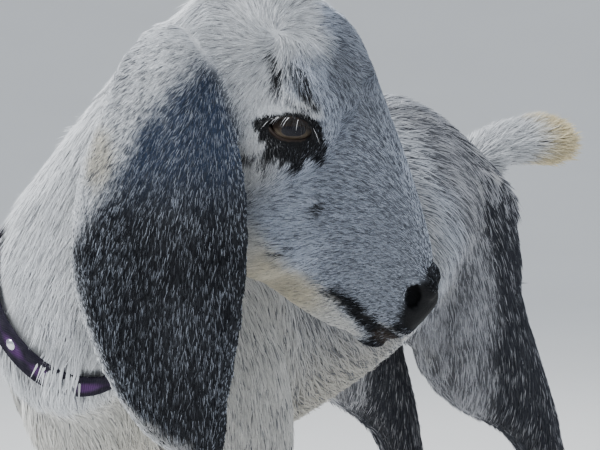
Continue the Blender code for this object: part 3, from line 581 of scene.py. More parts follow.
def smooth_rows(table, count):
    """A table's rows read at even steps of its length, by a curve through them."""
    table = np.asarray(table, float)
    steps = np.linalg.norm(np.diff(table[:, :3], axis=0), axis=1)
    place = np.concatenate(((0,), np.cumsum(steps)))
    slope = np.gradient(table, place, axis=0)
    want = np.linspace(0, place[-1], count)
    low = np.clip(np.searchsorted(place, want, side="right") - 1, 0, len(place) - 2)
    gap = place[low + 1] - place[low]
    t = ((want - place[low]) / gap)[:, None]
    gap = gap[:, None]
    return (
        (2 * t**3 - 3 * t**2 + 1) * table[low]
        + (t**3 - 2 * t**2 + t) * gap * slope[low]
        + (3 * t**2 - 2 * t**3) * table[low + 1]
        + (t**3 - t**2) * gap * slope[low + 1]
    )


def swelled_flesh(by):
    """All flesh nodes as one mesh, pushed out so that neighbours meet; the tail is a tube."""
    points, faces, owners, base = [], [], [], 0
    for number, name in enumerate(FLESH):
        if name == "tail":
            rows = smooth_rows(DOCK, 40)
            spots, sides = tube(from_eyes(rows[:, :3]), rows[:, 3] * CM)
        else:
            shell = bmesh.new()
            shell.from_mesh(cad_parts[name].data)
            bmesh.ops.remove_doubles(shell, verts=shell.verts, dist=1e-5)
            shell.normal_update()
            spots = np.array([vert.co + vert.normal * by for vert in shell.verts])
            sides = np.array([[vert.index for vert in face.verts] for face in shell.faces])
            shell.free()
        points.append(spots)
        faces.append(sides + base)
        owners.append(np.full(len(sides), number))
        base += len(spots)
    return np.concatenate(points), np.concatenate(faces), np.concatenate(owners)


def from_hole(forward, side, up):
    """Distance from the middle of a nostril, in centimetres."""
    return np.sqrt(
        (forward - NOSTRIL[0]) ** 2 + (side - NOSTRIL[1]) ** 2 + (up - NOSTRIL[2]) ** 2
    )


def face_detail(points):
    """1 close to the lids, nostrils and mouth, which keep their crisp shape."""
    forward, right, up = from_head(points).T
    side = np.abs(right)
    eye = np.sqrt(forward**2 + (side - EYE_SIDE) ** 2 + up**2)
    lips = np.abs(up - mouth_height(forward))
    near_eye = 1 - ease(1.7, 2.4, eye)
    near_hole = 1 - ease(0.8, 1.3, from_hole(forward, side, up))
    near_lips = (1 - ease(0.3, 0.7, lips)) * ease(6.0, 6.6, forward) * (side < 2.6)
    return np.maximum(np.maximum(near_eye, near_hole), near_lips)


def mouth_height(forward):
    """Height of the line between the lips at a distance forward on the head."""
    share = (np.asarray(forward) - MOUTH_CORNER[0]) / (MOUTH_FRONT[0] - MOUTH_CORNER[0])
    return MOUTH_CORNER[1] + (MOUTH_FRONT[1] - MOUTH_CORNER[1]) * np.clip(share, 0, 1) ** 0.8


def smoothed(points, faces, keep, rounds):
    """Pulls each point towards its neighbours and back by a little more, against shrinking."""
    edges = edges_of(faces)
    pull = (1 - 0.85 * keep)[:, None]
    for _round in range(rounds):
        for share in (0.6, -0.62):
            points = points + (spread(points, edges, 1) - points) * share * pull
    return points


def nearest_faces(tree, points):
    """The number of the face of a tree that is nearest to each point."""
    return np.array([tree.find_nearest(Vector(point))[2] for point in points.tolist()])


def fewer_triangles(points, faces, ratio):
    """An object with a share of the triangles of a surface."""
    made = mesh_piece("fewer", points, faces)
    fewer = made.modifiers.new("fewer", "DECIMATE")
    fewer.ratio = ratio
    fewer.use_collapse_triangulate = True
    return applied(made)


def build_skin(sizes):
    """One closed skin over all the flesh, with the fields that the coat reads.

    The far ear swings back from the jaw, the skin lies inside the solids by the coat's
    depth, and the nostrils are hollows.
    """
    flesh, sides, owners = swelled_flesh(sizes.join_gap)
    tree = BVHTree.FromPolygons(flesh.tolist(), sides.tolist())
    made = mesh_piece("hide", flesh, sides)
    cover = made.modifiers.new("cover", "REMESH")
    cover.mode = "VOXEL"
    cover.voxel_size = sizes.voxel
    points, faces = arrays_of(applied(made).data)
    discard(made)
    points, faces = largest_shell(points, faces)
    points = smoothed(points, faces, face_detail(points), sizes.smoothing)
    made = fewer_triangles(points, faces, min(1.0, sizes.triangles / len(faces)))
    points, faces = arrays_of(made.data)
    discard(made)
    points, faces = largest_shell(points, faces)
    edges = edges_of(faces)
    near = nearest_faces(tree, points)
    parts = np.zeros((len(points), len(FLESH)))
    parts[np.arange(len(points)), owners[near]] = 1
    parts = spread(parts, edges, 10)
    SKIN.update(faces=faces, edges=edges, parts=parts, main=parts.argmax(axis=1))
    fall = (ear_base(-1)[2] - points[:, 2]) / CM
    back = parts[:, LEFT_EAR_PART] * ease(4, 10, fall) * sizes.swing
    points = points - back[:, None] * PICTURE_RIGHT
    depth = (parts @ SKIN_DEPTH) * (1 - 0.75 * face_detail(points))
    depth = depth + NOSTRIL_DEPTH * nostril(points)
    SKIN["points"] = points - normals_of(points, faces) * depth[:, None]
    SKIN["normals"] = normals_of(SKIN["points"], faces)


def nostril(points):
    """1 in the middle of a nostril's opening, falling to 0 at its rim."""
    forward, right, up = from_head(points).T
    ahead, below = forward - 10.04, up + 1.5
    wide = (15.3 * ahead + 16.4 * below) / 21
    tall = (14.6 * ahead - 14.2 * below) / 21
    wide = wide - 0.25 * np.maximum(tall, 0)
    opening = 1 - ease(0.4, 1.05, np.hypot(wide / 0.42, tall / 0.66))
    side = np.abs(right)
    return opening * ease(0.6, 1.0, side) * (1 - ease(2.4, 2.8, side))


def neck_way(points):
    """The way along the neck from the head to the chest, by the nearest bend of its path."""
    path = from_eyes(NECK_PATH)
    way = unit(np.gradient(path, axis=0)) * -1
    off = np.linalg.norm(points[:, None] - path[None], axis=2)
    share = np.exp(-((off - off.min(axis=1, keepdims=True)) / 0.012))
    return unit(share @ way)


def lie_of_face(points, normals):
    """The lie on the head: round the whorl above the eyes, and from the nose backwards."""
    place = from_head(points)
    side = np.where(place[:, 1] < 0, -1.0, 1.0)
    facing = normals @ HEAD.T
    mirror = np.stack((np.ones(len(side)), side, np.ones(len(side))), axis=1)
    whorl = mirror * WHORL
    away = unit(place - whorl)
    near = 1.2 * np.exp(-np.linalg.norm(place - whorl, axis=1) / 1.7) * side
    away = unit(away + near[:, None] * np.cross(facing, away))
    turn = np.radians(np.clip(48 - 52 * facing[:, 2], 0, 88))
    under = np.clip(-facing[:, 2] - 0.5, 0, 1)
    back = np.stack((-np.cos(turn) - under, 0 * turn, -np.sin(turn) * (1 - under)), axis=1)
    upper = 1 - ease(0.2, 3.6, place[:, 0] + 0.25 * np.abs(place[:, 2]))
    return unit(away * upper[:, None] + back * (1 - upper)[:, None]) @ HEAD


def lie_of_ear(points, side):
    """The lie on an ear: a fan from its base that turns straight down."""
    base = ear_base(side)
    away = unit(points - base)
    fall = ease(0.02, 0.15, base[2] - points[:, 2])[:, None]
    return unit(away * (1 - 0.75 * fall) + np.array((0, 0, -1.0)) * 0.75 * fall)


def lie_of_body(points, normals):
    """The lie on the trunk: back along the spine, and down over the flanks."""
    over = np.abs(normals[:, 2])
    rear = ease(-0.12, 0.10, points[:, 1])
    sweep = ease(-3.5, 3.0, across_picture(points, EYE_LINE)) * (1 - rear)
    back = 0.12 + 0.30 * rear + 0.75 * over + 0.9 * sweep
    down = -(1 - over) * (1.0 - 0.15 * rear)
    return unit(np.stack((0 * back, back, down), axis=1))


def build_lie():
    """The way the hair lies at each point of the skin, along its surface.

    Near the rim of an ear it doesn't point outwards.
    """
    points, normals, parts = SKIN["points"], SKIN["normals"], SKIN["parts"]
    ways = np.zeros((len(FLESH), len(points), 3))
    ways[HEAD_PART] = lie_of_face(points, normals)
    ways[NECK_PART] = unit(neck_way(points) + np.array((0, 0, -0.8)))
    ways[TORSO_PART] = lie_of_body(points, normals)
    tail = unit(points - from_eyes(TAIL_ROOT)) + unit(np.array((0.35, 0.9, 0.25)))
    ways[TAIL_PART] = unit(tail)
    ways[LEFT_EAR_PART] = lie_of_ear(points, -1)
    ways[RIGHT_EAR_PART] = lie_of_ear(points, 1)
    for part in LEG_PARTS:
        ways[part] = (0.0, 0.14, -1.0)
    lie = flattened(np.einsum("vp,pvc->vc", parts, ways), normals)
    lie = flattened(spread(unit(lie), SKIN["edges"], 6), normals)
    rim = spread(rim_of_ears(parts)[:, None], SKIN["edges"], 5)
    out = unit(flattened(spread(normals, SKIN["edges"], 5), normals))
    over = np.maximum((lie * out).sum(axis=1, keepdims=True), 0)
    SKIN["lie"] = unit(lie - out * over * np.clip(rim * 3, 0, 1))


def build_lengths(sizes):
    """Hair length, width and number a square centimetre at each point of the skin.

    It is shortest near the lids, on the muzzle, the lower legs and the rims of the ears.
    """
    points, parts = SKIN["points"], SKIN["parts"]
    length = np.array(
        [sizes.face_hair, sizes.neck_hair, sizes.body_hair, sizes.tail_hair]
        + [sizes.ear_hair] * 2
        + [sizes.leg_hair] * 4
    )
    forward, _right, up = from_head(points).T
    on_face = parts[:, HEAD_PART]
    muzzle = ease(4.0, 9.5, forward) * on_face
    brow = (1 - ease(-3.0, 1.0, forward)) * on_face
    chin = ease(3.8, 5.2, -up) * on_face * (1 - 0.6 * muzzle)
    legs = parts[:, FIRST_LEG:].sum(axis=1)
    low = (1 - ease(0.03, 0.30, points[:, 2])) * legs
    belly = (1 - ease(0.30, 0.36, points[:, 2])) * parts[:, TORSO_PART]
    near_lids = (1 - ease(1.15, 2.3, lens_of(points))) * on_face
    chest = 1 - ease(-0.19, -0.13, points[:, 1])
    chest = chest * np.maximum(parts[:, TORSO_PART], 0.5 * legs)
    rim = spread(rim_of_ears(parts)[:, None], SKIN["edges"], 4)[:, 0]
    long = parts @ length
    long = long * (1 - 0.5 * muzzle) * (1 + 0.35 * brow) * (1 + 0.4 * chin)
    long = long * (1 - 0.42 * low) * (1 + 0.3 * belly) * (1 - 0.2 * chest)
    long = long * (1 - 0.5 * np.clip(rim * 2.5, 0, 1))
    SKIN["length"] = long * (1 - 0.66 * near_lids)
    SKIN["width"] = (parts @ TUFT_WIDTH) * (1 - 0.15 * muzzle) * (1 - 0.15 * near_lids)
    number = parts @ (TUFTS_PER_CM2 * sizes.fullness)
    number = number * (1 + 0.15 * muzzle) * (1 + 0.5 * low) * (1 + 1.1 * chest)
    number = number * (1 + 0.5 * near_lids)
    SKIN["number"] = number * bare(points)


def lens_of(points):
    """How far a point is from the middle of the lids' opening: 1 just past its edge."""
    forward, right, up = from_head(points).T
    tilt = math.radians(LID_TILT)
    long = forward * math.cos(tilt) + up * math.sin(tilt)
    high = up * math.cos(tilt) - forward * math.sin(tilt)
    far = 9.0 * (np.abs(right) < 2.2)
    return far + np.hypot(long / (LID_HALF_WIDTH * 1.08), high / (LID_HALF_HEIGHT * 1.2))


def near_head(points):
    """Which points lie within the head's reach of the eye line."""
    return np.linalg.norm(points - EYE_LINE, axis=1) < HEAD_REACH


def nose_pad(points):
    """1 on the bare moist skin round the nostrils."""
    forward, right, up = from_head(points).T
    side = np.abs(right)
    start = np.interp(up, *NOSE_EDGE) + 0.25
    pad = ease(-0.1, 0.2, forward - start) * ease(-2.75, -2.45, up) * (1 - ease(-0.7, -0.3, up))
    return pad * (side < 2.4) * near_head(points)


def bare(points):
    """0 where no hair grows, 1 elsewhere: the lids' opening, nose pad and lips' edge."""
    forward, right, up = from_head(points).T
    side = np.abs(right)
    eye = lens_of(points) < 1
    hole = from_hole(forward, side, up) < 0.42
    slit = (np.abs(up - mouth_height(forward)) < 0.1) & (forward > 6.9) & (side < 2.4)
    closed = (eye | hole | slit | (nose_pad(points) > 0.5)) & near_head(points)
    return np.where(closed | (points[:, 2] < COAT_END), 0.0, 1.0)


class Markings:
    """Colours of the pale and the dark hairs and the share of dark ones at each point."""

    def __init__(self, points, parts, colours):
        self.points, self.parts = points, parts
        self.colours = {key: np.array(getattr(colours, key)) for key in COLOUR_NAMES}
        self.pale = np.tile(self.colours["white"], (len(points), 1))
        self.dark = np.tile(self.colours["charcoal"], (len(points), 1))
        self.share = np.full(len(points), 0.16)
        self.fine, self.broad, self.wide = (
            noise(points, grain * MM, seed) for seed, grain in enumerate(NOISE_GRAINS, 1)
        )

    def toward(self, colour, amount):
        """Moves the pale hairs towards a colour."""
        self.pale = self.pale + (np.array(colour) - self.pale) * np.clip(amount, 0, 1)[:, None]

    def darken(self, amount, level):
        """Moves the share of dark hairs towards a level."""
        self.share = self.share + (level - self.share) * np.clip(amount, 0, 1)

    def stain(self, colour, amount):
        """Moves the dark hairs towards a colour."""
        self.dark = self.dark + (colour - self.dark) * amount[:, None]


def paint_body(marks):
    """White chest and tail, grey thighs with a dark rear edge, legs darker to the feet."""
    points, parts = marks.points, marks.parts
    toward, darken, stain = marks.toward, marks.darken, marks.stain
    fine, broad, wide = marks.fine, marks.broad, marks.wide
    white, silver, grey, _black, charcoal, cream = marks.colours.values()
    # Trunk: white with dark streaks, a grey thigh with a dark rear edge
    trunk = parts[:, TORSO_PART] + parts[:, FIRST_HIND_LEG] + parts[:, LAST_LEG]
    behind_chest = ease(-0.20, -0.12, points[:, 1])
    darken(trunk, 0.08)
    darken(trunk * behind_chest, 0.22)
    toward(silver, trunk * (0.3 + 0.5 * behind_chest))
    aside = across_picture(points, EYE_LINE)
    rump = ease(0.0, 0.06, points[:, 1]) * trunk
    chest = trunk * (1 - behind_chest)
    toward(white, chest * (1 - ease(-12, -8, aside)))
    toward(cream * 0.9, chest * ease(-11, -6, aside) * 0.5)
    # Painted shade: the trunk right of the head in the picture is pulled towards dark silver, where
    # the flank lies in shade
    toward(silver * 0.54, trunk * ease(-5, -1, aside) * (1 - rump) * 0.75)
    stain(charcoal * 0.7 + silver * 0.14, trunk)
    dim = ease(0.50, 0.72, fine) * ease(0.42, 0.62, wide)
    darken(trunk * dim * behind_chest, 0.5)
    toward(grey * 0.86, rump * 0.85)
    # The rump turns white on its part left in the picture: white hair, partly painted rim light
    toward(white, rump * (1 - ease(5.5, 7.5, aside + 1.5 * (broad - 0.5))) * 0.85)
    thigh = ease(0.045, 0.085, points[:, 1] + 0.02 * (broad - 0.5)) * trunk
    thigh = thigh * (1 - ease(0.475, 0.495, points[:, 2]))
    toward(grey * (0.86, 0.79, 0.72), thigh * 0.8)
    strands = ease(0.42, 0.62, noise(points * (1.0, 1.0, 0.22), 6 * MM, 7))
    darken(thigh, 0.26)
    darken(thigh * strands, 0.62)
    toward(silver * 0.95, thigh * ease(0.55, 0.75, broad) * (1 - strands) * 0.7)
    # The dark rear edge of the thigh: dark roan hair, partly painted shade where the thigh turns
    # away at its rear
    edge = 0.124 + 0.42 * np.clip(0.335 - points[:, 2], 0, 1)
    rear = ease(-0.006, 0.012, points[:, 1] - edge + 0.012 * (broad - 0.5))
    stain(charcoal * 0.45, rear * trunk)
    darken(rear * trunk * (1 - ease(0.40, 0.445, points[:, 2])), 0.93)
    # Cream along the belly: partly dirt, partly painted warm light bounced up from the ground
    under = (1 - ease(0.32, 0.38, points[:, 2])) * parts[:, TORSO_PART]
    toward(cream, under * 0.45)
    # Legs: roan, darker towards the feet
    legs = parts[:, FIRST_LEG:].sum(axis=1)
    low = 1 - ease(0.06, 0.28, points[:, 2] + 0.05 * (wide - 0.5))
    fore = parts[:, FIRST_LEG] + parts[:, LAST_FRONT_LEG]
    darken(fore * (1 - low), 0.10)
    toward(silver * (0.95, 0.92, 0.84), fore * (1 - low) * 0.75)
    toward(grey, legs * low)
    darken(legs * low, 0.62)
    darken(legs * (1 - ease(0.035, 0.07, points[:, 2])), 0.9)
    # Neck: silver white with a few grey strands
    neck = parts[:, NECK_PART]
    toward(white, neck)
    darken(neck, 0.09)
    darken(neck * ease(0.6, 0.8, broad), 0.28)
    stain(charcoal + silver * 0.2, neck)
    # Painted shade: the neck right of the head in the picture is pulled towards silver, where it
    # lies in shade
    toward(silver * 0.8, neck * ease(-4.5, -1.5, aside) * 0.8)
    # Tail: white, its tip cream and its root spotted
    tail = parts[:, TAIL_PART]
    toward(white * 0.86, tail)
    darken(tail, 0.06)
    toward(cream * (1.12, 1.05, 0.84), tail * ease(0.258, 0.272, points[:, 1]) * 0.95)
    spot = np.linalg.norm(points - from_eyes((-12.2, 45.6, -5.4)), axis=1)
    darken(tail * (1 - ease(0.004, 0.009, spot)), 0.9)


def paint_face(marks):
    """Blue-grey roan, white round the brow, cream under the jaw, black eye and nose."""
    points, parts = marks.points, marks.parts
    toward, darken, stain = marks.toward, marks.darken, marks.stain
    fine, broad = marks.fine, marks.broad
    white, silver, grey, black, charcoal, cream = marks.colours.values()
    forward, right, up = from_head(points).T
    side = np.abs(right)
    flat = np.stack((forward, up), axis=1)
    face = parts[:, HEAD_PART]
    ragged = (fine - 0.5) * 0.5 + (broad - 0.5) * 0.5
    ahead = 7.3 * forward + 7.8 * up + 6.0 * ragged
    fallen = 6.95 * forward - 6.76 * up + 6.0 * ragged
    roan = np.maximum(ease(-7, 3, ahead) * ease(-39, -27, fallen), ease(10, 19, ahead))
    crown = ease(5, 12, ahead) * (1 - ease(1.5, 2.4, side)) * ease(2.2, 3.2, up)
    roan = np.maximum(np.maximum(roan, crown), ease(0.2, 1.8, forward + 0.5 * ragged))
    roan = face * roan
    # Grey roan over the face; the blue of this grey is partly painted light, the cold cast of
    # skylight on the face in shade
    toward(grey, roan)
    darken(face, 0.10)
    darken(roan, 0.24)
    darken(roan * ease(11, 17, ahead), 0.42)
    # Painted shade: the roan on top of the head is pulled further towards dark grey, against the
    # light that falls on its upward face
    toward(grey * 0.74, roan * ease(13, 20, ahead) * ease(2.0, 3.2, up))
    stain(charcoal + grey * 0.22, roan * 0.3)
    chin = face * ease(4.1, 4.7, -up + 0.3 * ragged) * ease(6.0, 7.0, forward)
    chin = chin * (1 - ease(9.8, 10.6, forward))
    toward(white * (0.9, 0.86, 0.78), chin * 0.85)
    darken(chin, 0.14)
    jaw = face * ease(3.9, 5.2, -up + 0.5 * ragged) * (1 - ease(6.5, 8.5, forward))
    toward(cream, jaw * 0.85)
    # White at the back of the jaw under the ear: partly white hair, partly painted light against
    # the shade under the ear
    toward(white, jaw * (1 - ease(2.6, 4.6, forward + 0.5 * ragged)) * 0.8)
    darken(jaw, 0.04)
    behind = face * (1 - ease(-0.6, 2.2, forward + up * 0.25)) * ease(1.2, 2.2, -up)
    toward(silver, behind * 0.8)
    brow = face * streak(flat, (-2.3, -0.3), (-0.1, 1.25), 0.42, 0.25) * (side > 1.6)
    toward(white * 0.95, brow)
    darken(brow, 0.02)
    near_side = face * (side > 1.4)
    spot = flat + np.where(forward < 0, 0.42, 0.16)[:, None] * ragged[:, None]
    for begin, finish, radius, level in FACE_STREAKS:
        mark = near_side * streak(spot, begin, finish, radius, 0.1)
        darken(mark, level)
        stain(black, mark)
    # The black round the eye, in drips along its lower edge
    patch = near_side * inside(flat + 0.22 * ragged[:, None], EYE_PATCH)
    # The nose, the band along the mouth, a thin painted highlight over it along the upper lip's
    # edge, and the lower lip
    nose = face * ease(-0.1, 0.25, forward - np.interp(up, *NOSE_EDGE) + 0.9 * ragged)
    band = streak(flat + 0.25 * ragged[:, None], (7.4, -4.25), (8.0, -3.85), 0.22, 0.14)
    band = np.maximum(band, streak(flat, (8.0, -3.88), (11.2, -3.8), 0.36, 0.12))
    lower = ease(10.0, 10.5, forward) * ease(3.3, 3.5, -up) * (1 - ease(4.1, 4.4, -up))
    freckled = face * ease(6.6, 9.8, forward + 1.4 * (fine - 0.5))
    darken(freckled * (1 - chin), 0.42)
    stain(black * 2, freckled * (1 - chin) * 0.8)
    nose = np.maximum(nose, face * (nostril(points) > 0.1))
    for mark in (patch, nose, face * band * (side < 2.9), face * lower):
        darken(mark, 0.985)
        stain(black, mark)
    stain(LIP_BROWN, face * lower * 0.7)
    # Painted highlight: a thin pale line along the edge of the upper lip
    lip_highlight = face * streak(flat, (9.7, -3.42), (11.6, -2.98), 0.03, 0.09)
    toward(silver, lip_highlight)
    darken(lip_highlight, 0.25)


def paint_ears(marks):
    """White at the base, black below, and a pale strip at the tip."""
    points, parts = marks.points, marks.parts
    toward, darken, stain = marks.toward, marks.darken, marks.stain
    fine, broad = marks.fine, marks.broad
    white, silver, grey, black, _charcoal, cream = marks.colours.values()
    for part, turn in ((LEFT_EAR_PART, -1), (RIGHT_EAR_PART, 1)):
        ear = parts[:, part]
        base = ear_base(turn)
        fall = (base[2] - points[:, 2]) / CM
        across = across_picture(points, base) + EAR_SHIFT
        across = across if turn > 0 else 0 * across
        start = np.interp(across, *EAR_DARK)
        start = start + 1.6 * (broad - 0.5) + 1.0 * (fine - 0.5)
        below = ear * ease(-0.9, 1.5, fall - start)
        painted_sky = ear * (1 - ease(5.0, 9.0, fall))
        toward(white, ear)
        darken(ear, 0.14)
        darken(ear * (1 - ease(-1.5, 0.5, across)) * (1 - below), 0.24)
        toward(grey * 0.8, below)
        darken(below, 0.76)
        darken(below * ease(6.0, 9.0, fall) * ease(0.35, 0.6, broad), 0.86)
        # Painted light: the dark hair high on the ear, near its base, is tinted blue as painted
        # skylight
        stain(PAINTED_SKY_BLUE, below * painted_sky * 0.8)
        stain(black * 1.5, below * (1 - painted_sky))
        tip = ease(-0.25, 0.3, fall - 17.9 - 0.627 * across + 0.9 * (fine - 0.5)) * ear
        toward(silver, tip)
        darken(tip, 0.34)
        buff = ear * (1 - ease(0.6, 1.3, np.hypot((across + 2.8) / 0.8, (fall - 5.3) / 1.4)))
        toward(cream, buff * 0.6)


def paint(points, parts, colours):
    """The markings: the colours of pale and dark hairs, and the share of dark ones.

    Places on the head are in centimetres, others in metres of the frame.
    """
    marks = Markings(points, parts, colours)
    for region in (paint_body, paint_face, paint_ears):
        region(marks)
    return marks.pale, marks.dark, np.clip(marks.share, 0, 1)


def rim_of_ears(parts):
    """1 along the thin edge of an ear, where the pale hairs of both faces meet."""
    spun = spread(SKIN["normals"], SKIN["edges"], 4)
    sharp = 1 - np.linalg.norm(spun, axis=1)
    ears = parts[:, LEFT_EAR_PART] + parts[:, RIGHT_EAR_PART]
    edge = ease(0.07, 0.20, sharp) * ears
    return spread(edge[:, None], SKIN["edges"], 2)[:, 0]


def face_middles():
    """The middle of each triangle of the skin."""
    return SKIN["points"][SKIN["faces"]].mean(axis=1)


def face_map():
    """Where each triangle of the skin lies on a smart unwrap of a coarser copy of it."""
    made = fewer_triangles(SKIN["points"], SKIN["faces"], UNWRAP_FACES / len(SKIN["faces"]))
    made.data.uv_layers.new(name="OFBake")
    bpy.ops.object.select_all(action="DESELECT")
    bpy.context.view_layer.objects.active = made
    made.select_set(True)
    bpy.ops.object.mode_set(mode="EDIT")
    bpy.ops.mesh.select_all(action="SELECT")
    bpy.ops.uv.smart_project(angle_limit=math.radians(66), island_margin=0.004)
    bpy.ops.object.mode_set(mode="OBJECT")
    mesh = made.data
    flat = values_of(mesh.uv_layers["OFBake"].data, "uv", 2).reshape(-1, 3, 2).astype(float)
    corners = values_of(mesh.loops, "vertex_index", 1, np.int32).reshape(-1, 3)
    points = values_of(mesh.vertices, "co", 3).astype(float)
    tree = BVHTree.FromPolygons(points.tolist(), corners.tolist())
    discard(made)
    near = nearest_faces(tree, face_middles())
    SKIN["unwrap"] = (points[corners], flat, near)


def unwrapped(roots, on_faces):
    """The unwrap's place of each root: its shares of the nearest coarse triangle."""
    corners, flat, near = SKIN["unwrap"]
    shape, spot = corners[near[on_faces]], flat[near[on_faces]]
    a, b, c = shape[:, 0], shape[:, 1], shape[:, 2]
    first, second, off = b - a, c - a, roots - a
    d11, d12, d22 = (first * first).sum(1), (first * second).sum(1), (second * second).sum(1)
    e1, e2 = (off * first).sum(1), (off * second).sum(1)
    under = np.maximum(d11 * d22 - d12 * d12, 1e-18)
    s = np.clip((d22 * e1 - d12 * e2) / under, 0, 1)
    t = np.clip((d11 * e2 - d12 * e1) / under, 0, 1 - s)
    right, down = spot[:, 1] - spot[:, 0], spot[:, 2] - spot[:, 0]
    return spot[:, 0] + right * s[:, None] + down * t[:, None]


def roots_on(part_of_face, draw):
    """Random roots on the skin's triangles, as many as its number a square centimetre says."""
    faces = SKIN["faces"]
    chosen = np.flatnonzero(part_of_face)
    a, b, c = (SKIN["points"][faces[chosen, corner]] for corner in range(3))
    area = np.linalg.norm(np.cross(b - a, c - a), axis=1) / 2 / CM**2
    wanted = area * SKIN["number"][faces[chosen]].mean(axis=1)
    counts = np.floor(wanted + draw.random(len(wanted))).astype(int)
    on_faces = np.repeat(chosen, counts)
    s, t = draw.random((2, len(on_faces)))
    flip = s + t > 1
    s, t = np.where(flip, 1 - s, s), np.where(flip, 1 - t, t)
    return on_faces, np.stack((1 - s - t, s, t), axis=1)


def at_roots(field, on_faces, shares):
    """A field of the skin at the roots."""
    corners = field[SKIN["faces"][on_faces]]
    if field.ndim == 1:
        return (corners * shares).sum(axis=1)
    return (corners * shares[:, :, None]).sum(axis=1)


# Corners of the triangles of a tuft, their painted shade from root to tip (darker at the sunk root
# as painted shade in the pile, lighter at the tip as painted light), and their unwrap
SHORT_FACES = np.array(((0, 1, 2), (0, 2, 3), (1, 3, 2), (0, 3, 1)))
SHORT_PAINTED_SHADE = np.array((0.62, 0.62, 1.0, 1.12))
SHORT_PATCH = np.array(((-1, -1), (1, -1), (0, 0), (0, 1))) * PATCH_SIZE
LONG_FACES = np.array(
    ((0, 1, 4), (0, 4, 2), (1, 3, 4), (2, 4, 5), (4, 3, 5), (0, 2, 3), (0, 3, 1), (2, 5, 3))
)
LONG_PAINTED_SHADE = np.array((0.62, 0.62, 0.92, 0.92, 1.0, 1.12))
LONG_PATCH = np.array(((-1, -1), (1, -1), (-0.8, 0), (0.8, 0), (0, 0.2), (0, 1))) * PATCH_SIZE


def wedges(name, corners, pattern):
    """A piece of closed wedges, each with its own corners, and its triangles."""
    many = len(corners)
    points = np.stack(corners, axis=1).reshape(-1, 3)
    step = np.arange(len(corners[0]))[:, None, None] * many
    faces = (step + pattern[None]).reshape(-1, 3)
    return mesh_piece(name, points, faces, False), faces


def put_patches(made, faces, spots, patch):
    """The unwrap of closed wedges: each is a small patch at its root's place."""
    corners = (spots[:, None, :] + patch[None]).reshape(-1, 2)[faces.ravel()]
    layer = made.data.uv_layers.new(name="OFBake")
    layer.data.foreach_set("uv", corners.astype(np.float32).ravel())


def tufts(name, chosen, long_hair, stand, seed):
    """A coat piece of closed tufts, each a flat wedge from its root to its tip.

    A short tuft has two root corners, one ridge point and a tip. A long one has a
    second pair of corners half way, and its tip bends down. The root is sunk in the
    skin, the ridge rises off it and the tip lies along the way of the coat.
    """
    draw = np.random.default_rng(seed)
    on_faces, shares = roots_on(chosen, draw)
    count = len(on_faces)
    root = at_roots(SKIN["points"], on_faces, shares)
    over = np.zeros(count, bool)
    if "neck" in name or "trunk" in name or "front" in name:
        free, over = clear_of_collar(root, on_faces, shares)
        kept = free | over
        on_faces, shares, root, over = on_faces[kept], shares[kept], root[kept], over[kept]
        count = len(root)
    up = unit(at_roots(SKIN["normals"], on_faces, shares))
    lie = at_roots(SKIN["lie"], on_faces, shares)
    aside = unit(np.cross(up, lie))
    turn = draw.normal(0, 0.16, count)[:, None]
    lie = unit(flattened(unit(lie + aside * turn), up))
    aside = np.cross(up, lie)
    length = at_roots(SKIN["length"], on_faces, shares) * draw.uniform(0.72, 1.2, count)
    half = at_roots(SKIN["width"], on_faces, shares) * draw.uniform(0.38, 0.62, count)
    length = np.where(over, draw.uniform(*LOCK_LENGTHS, count) * MM, length)
    half = np.where(over, half * LOCK_WIDER, half)
    length, half = length[:, None], half[:, None]
    lift = length * stand * draw.uniform(0.5, 1.5, count)[:, None]
    lift = lift + LOCK_LIFT * over[:, None]
    sunk = up * (0.25 * MM)
    tip = root + lie * length + up * lift
    if long_hair:
        fall = np.array((0, 0, -1.0)) - up * -up[:, 2:]
        bend = fall * length * 0.16 + aside * length * draw.normal(0, 0.07, count)[:, None]
        mid = root + lie * length * 0.48 + up * (lift * 0.62) + bend * 0.25
        tip = tip + bend
        ridge = mid + up * half * 0.8
        corners = (
            root + aside * half - sunk,
            root - aside * half - sunk,
            mid + aside * half * 0.8,
            mid - aside * half * 0.8,
            ridge,
            tip,
        )
        pattern, painted_shade, patch = LONG_FACES, LONG_PAINTED_SHADE, LONG_PATCH
    else:
        ridge = root + lie * length * 0.42 + up * (lift * 0.5 + half * 0.9)
        corners = (root + aside * half - sunk, root - aside * half - sunk, ridge, tip)
        pattern, painted_shade, patch = SHORT_FACES, SHORT_PAINTED_SHADE, SHORT_PATCH
    made, faces = wedges(name, corners, pattern)
    hue = hair_colours(on_faces, shares, draw)
    # Painted shade: each corner's colour is the tuft's hue darkened at the root and brightened at
    # the tip
    put_colours(made, "hair", (hue[:, None, :] * painted_shade[None, :, None]).reshape(-1, 3))
    put_patches(made, faces, unwrapped(root, on_faces), patch)
    return made


def clear_of_collar(root, on_faces, shares):
    """Which roots have a tuft clear of the collar's band, and which hang over it.

    The tufts that hang over it are rooted just above it, under the throat.
    """
    lie = at_roots(SKIN["lie"], on_faces, shares)
    length = at_roots(SKIN["length"], on_faces, shares)[:, None]
    free = np.ones(len(root), bool)
    for share in (0.0, 0.4, 0.8, 1.1):
        along, _angle, far = round_collar(root + lie * length * share)
        margin = BAND_HALF + (1.4 - 1.2 * share) * MM
        free &= (np.abs(along) > margin) | (far > BAND_FAR)
    along, angle, far = round_collar(root)
    over = ~free & (along > BAND_HALF + 0.5 * MM) & (along < BAND_HALF + 8 * MM)
    turn = np.degrees(angle) + LOCK_TURN + 3 * np.sin(along * 4000)
    return free, over & (np.abs(turn) < LOCK_HALF) & (far < BAND_FAR)


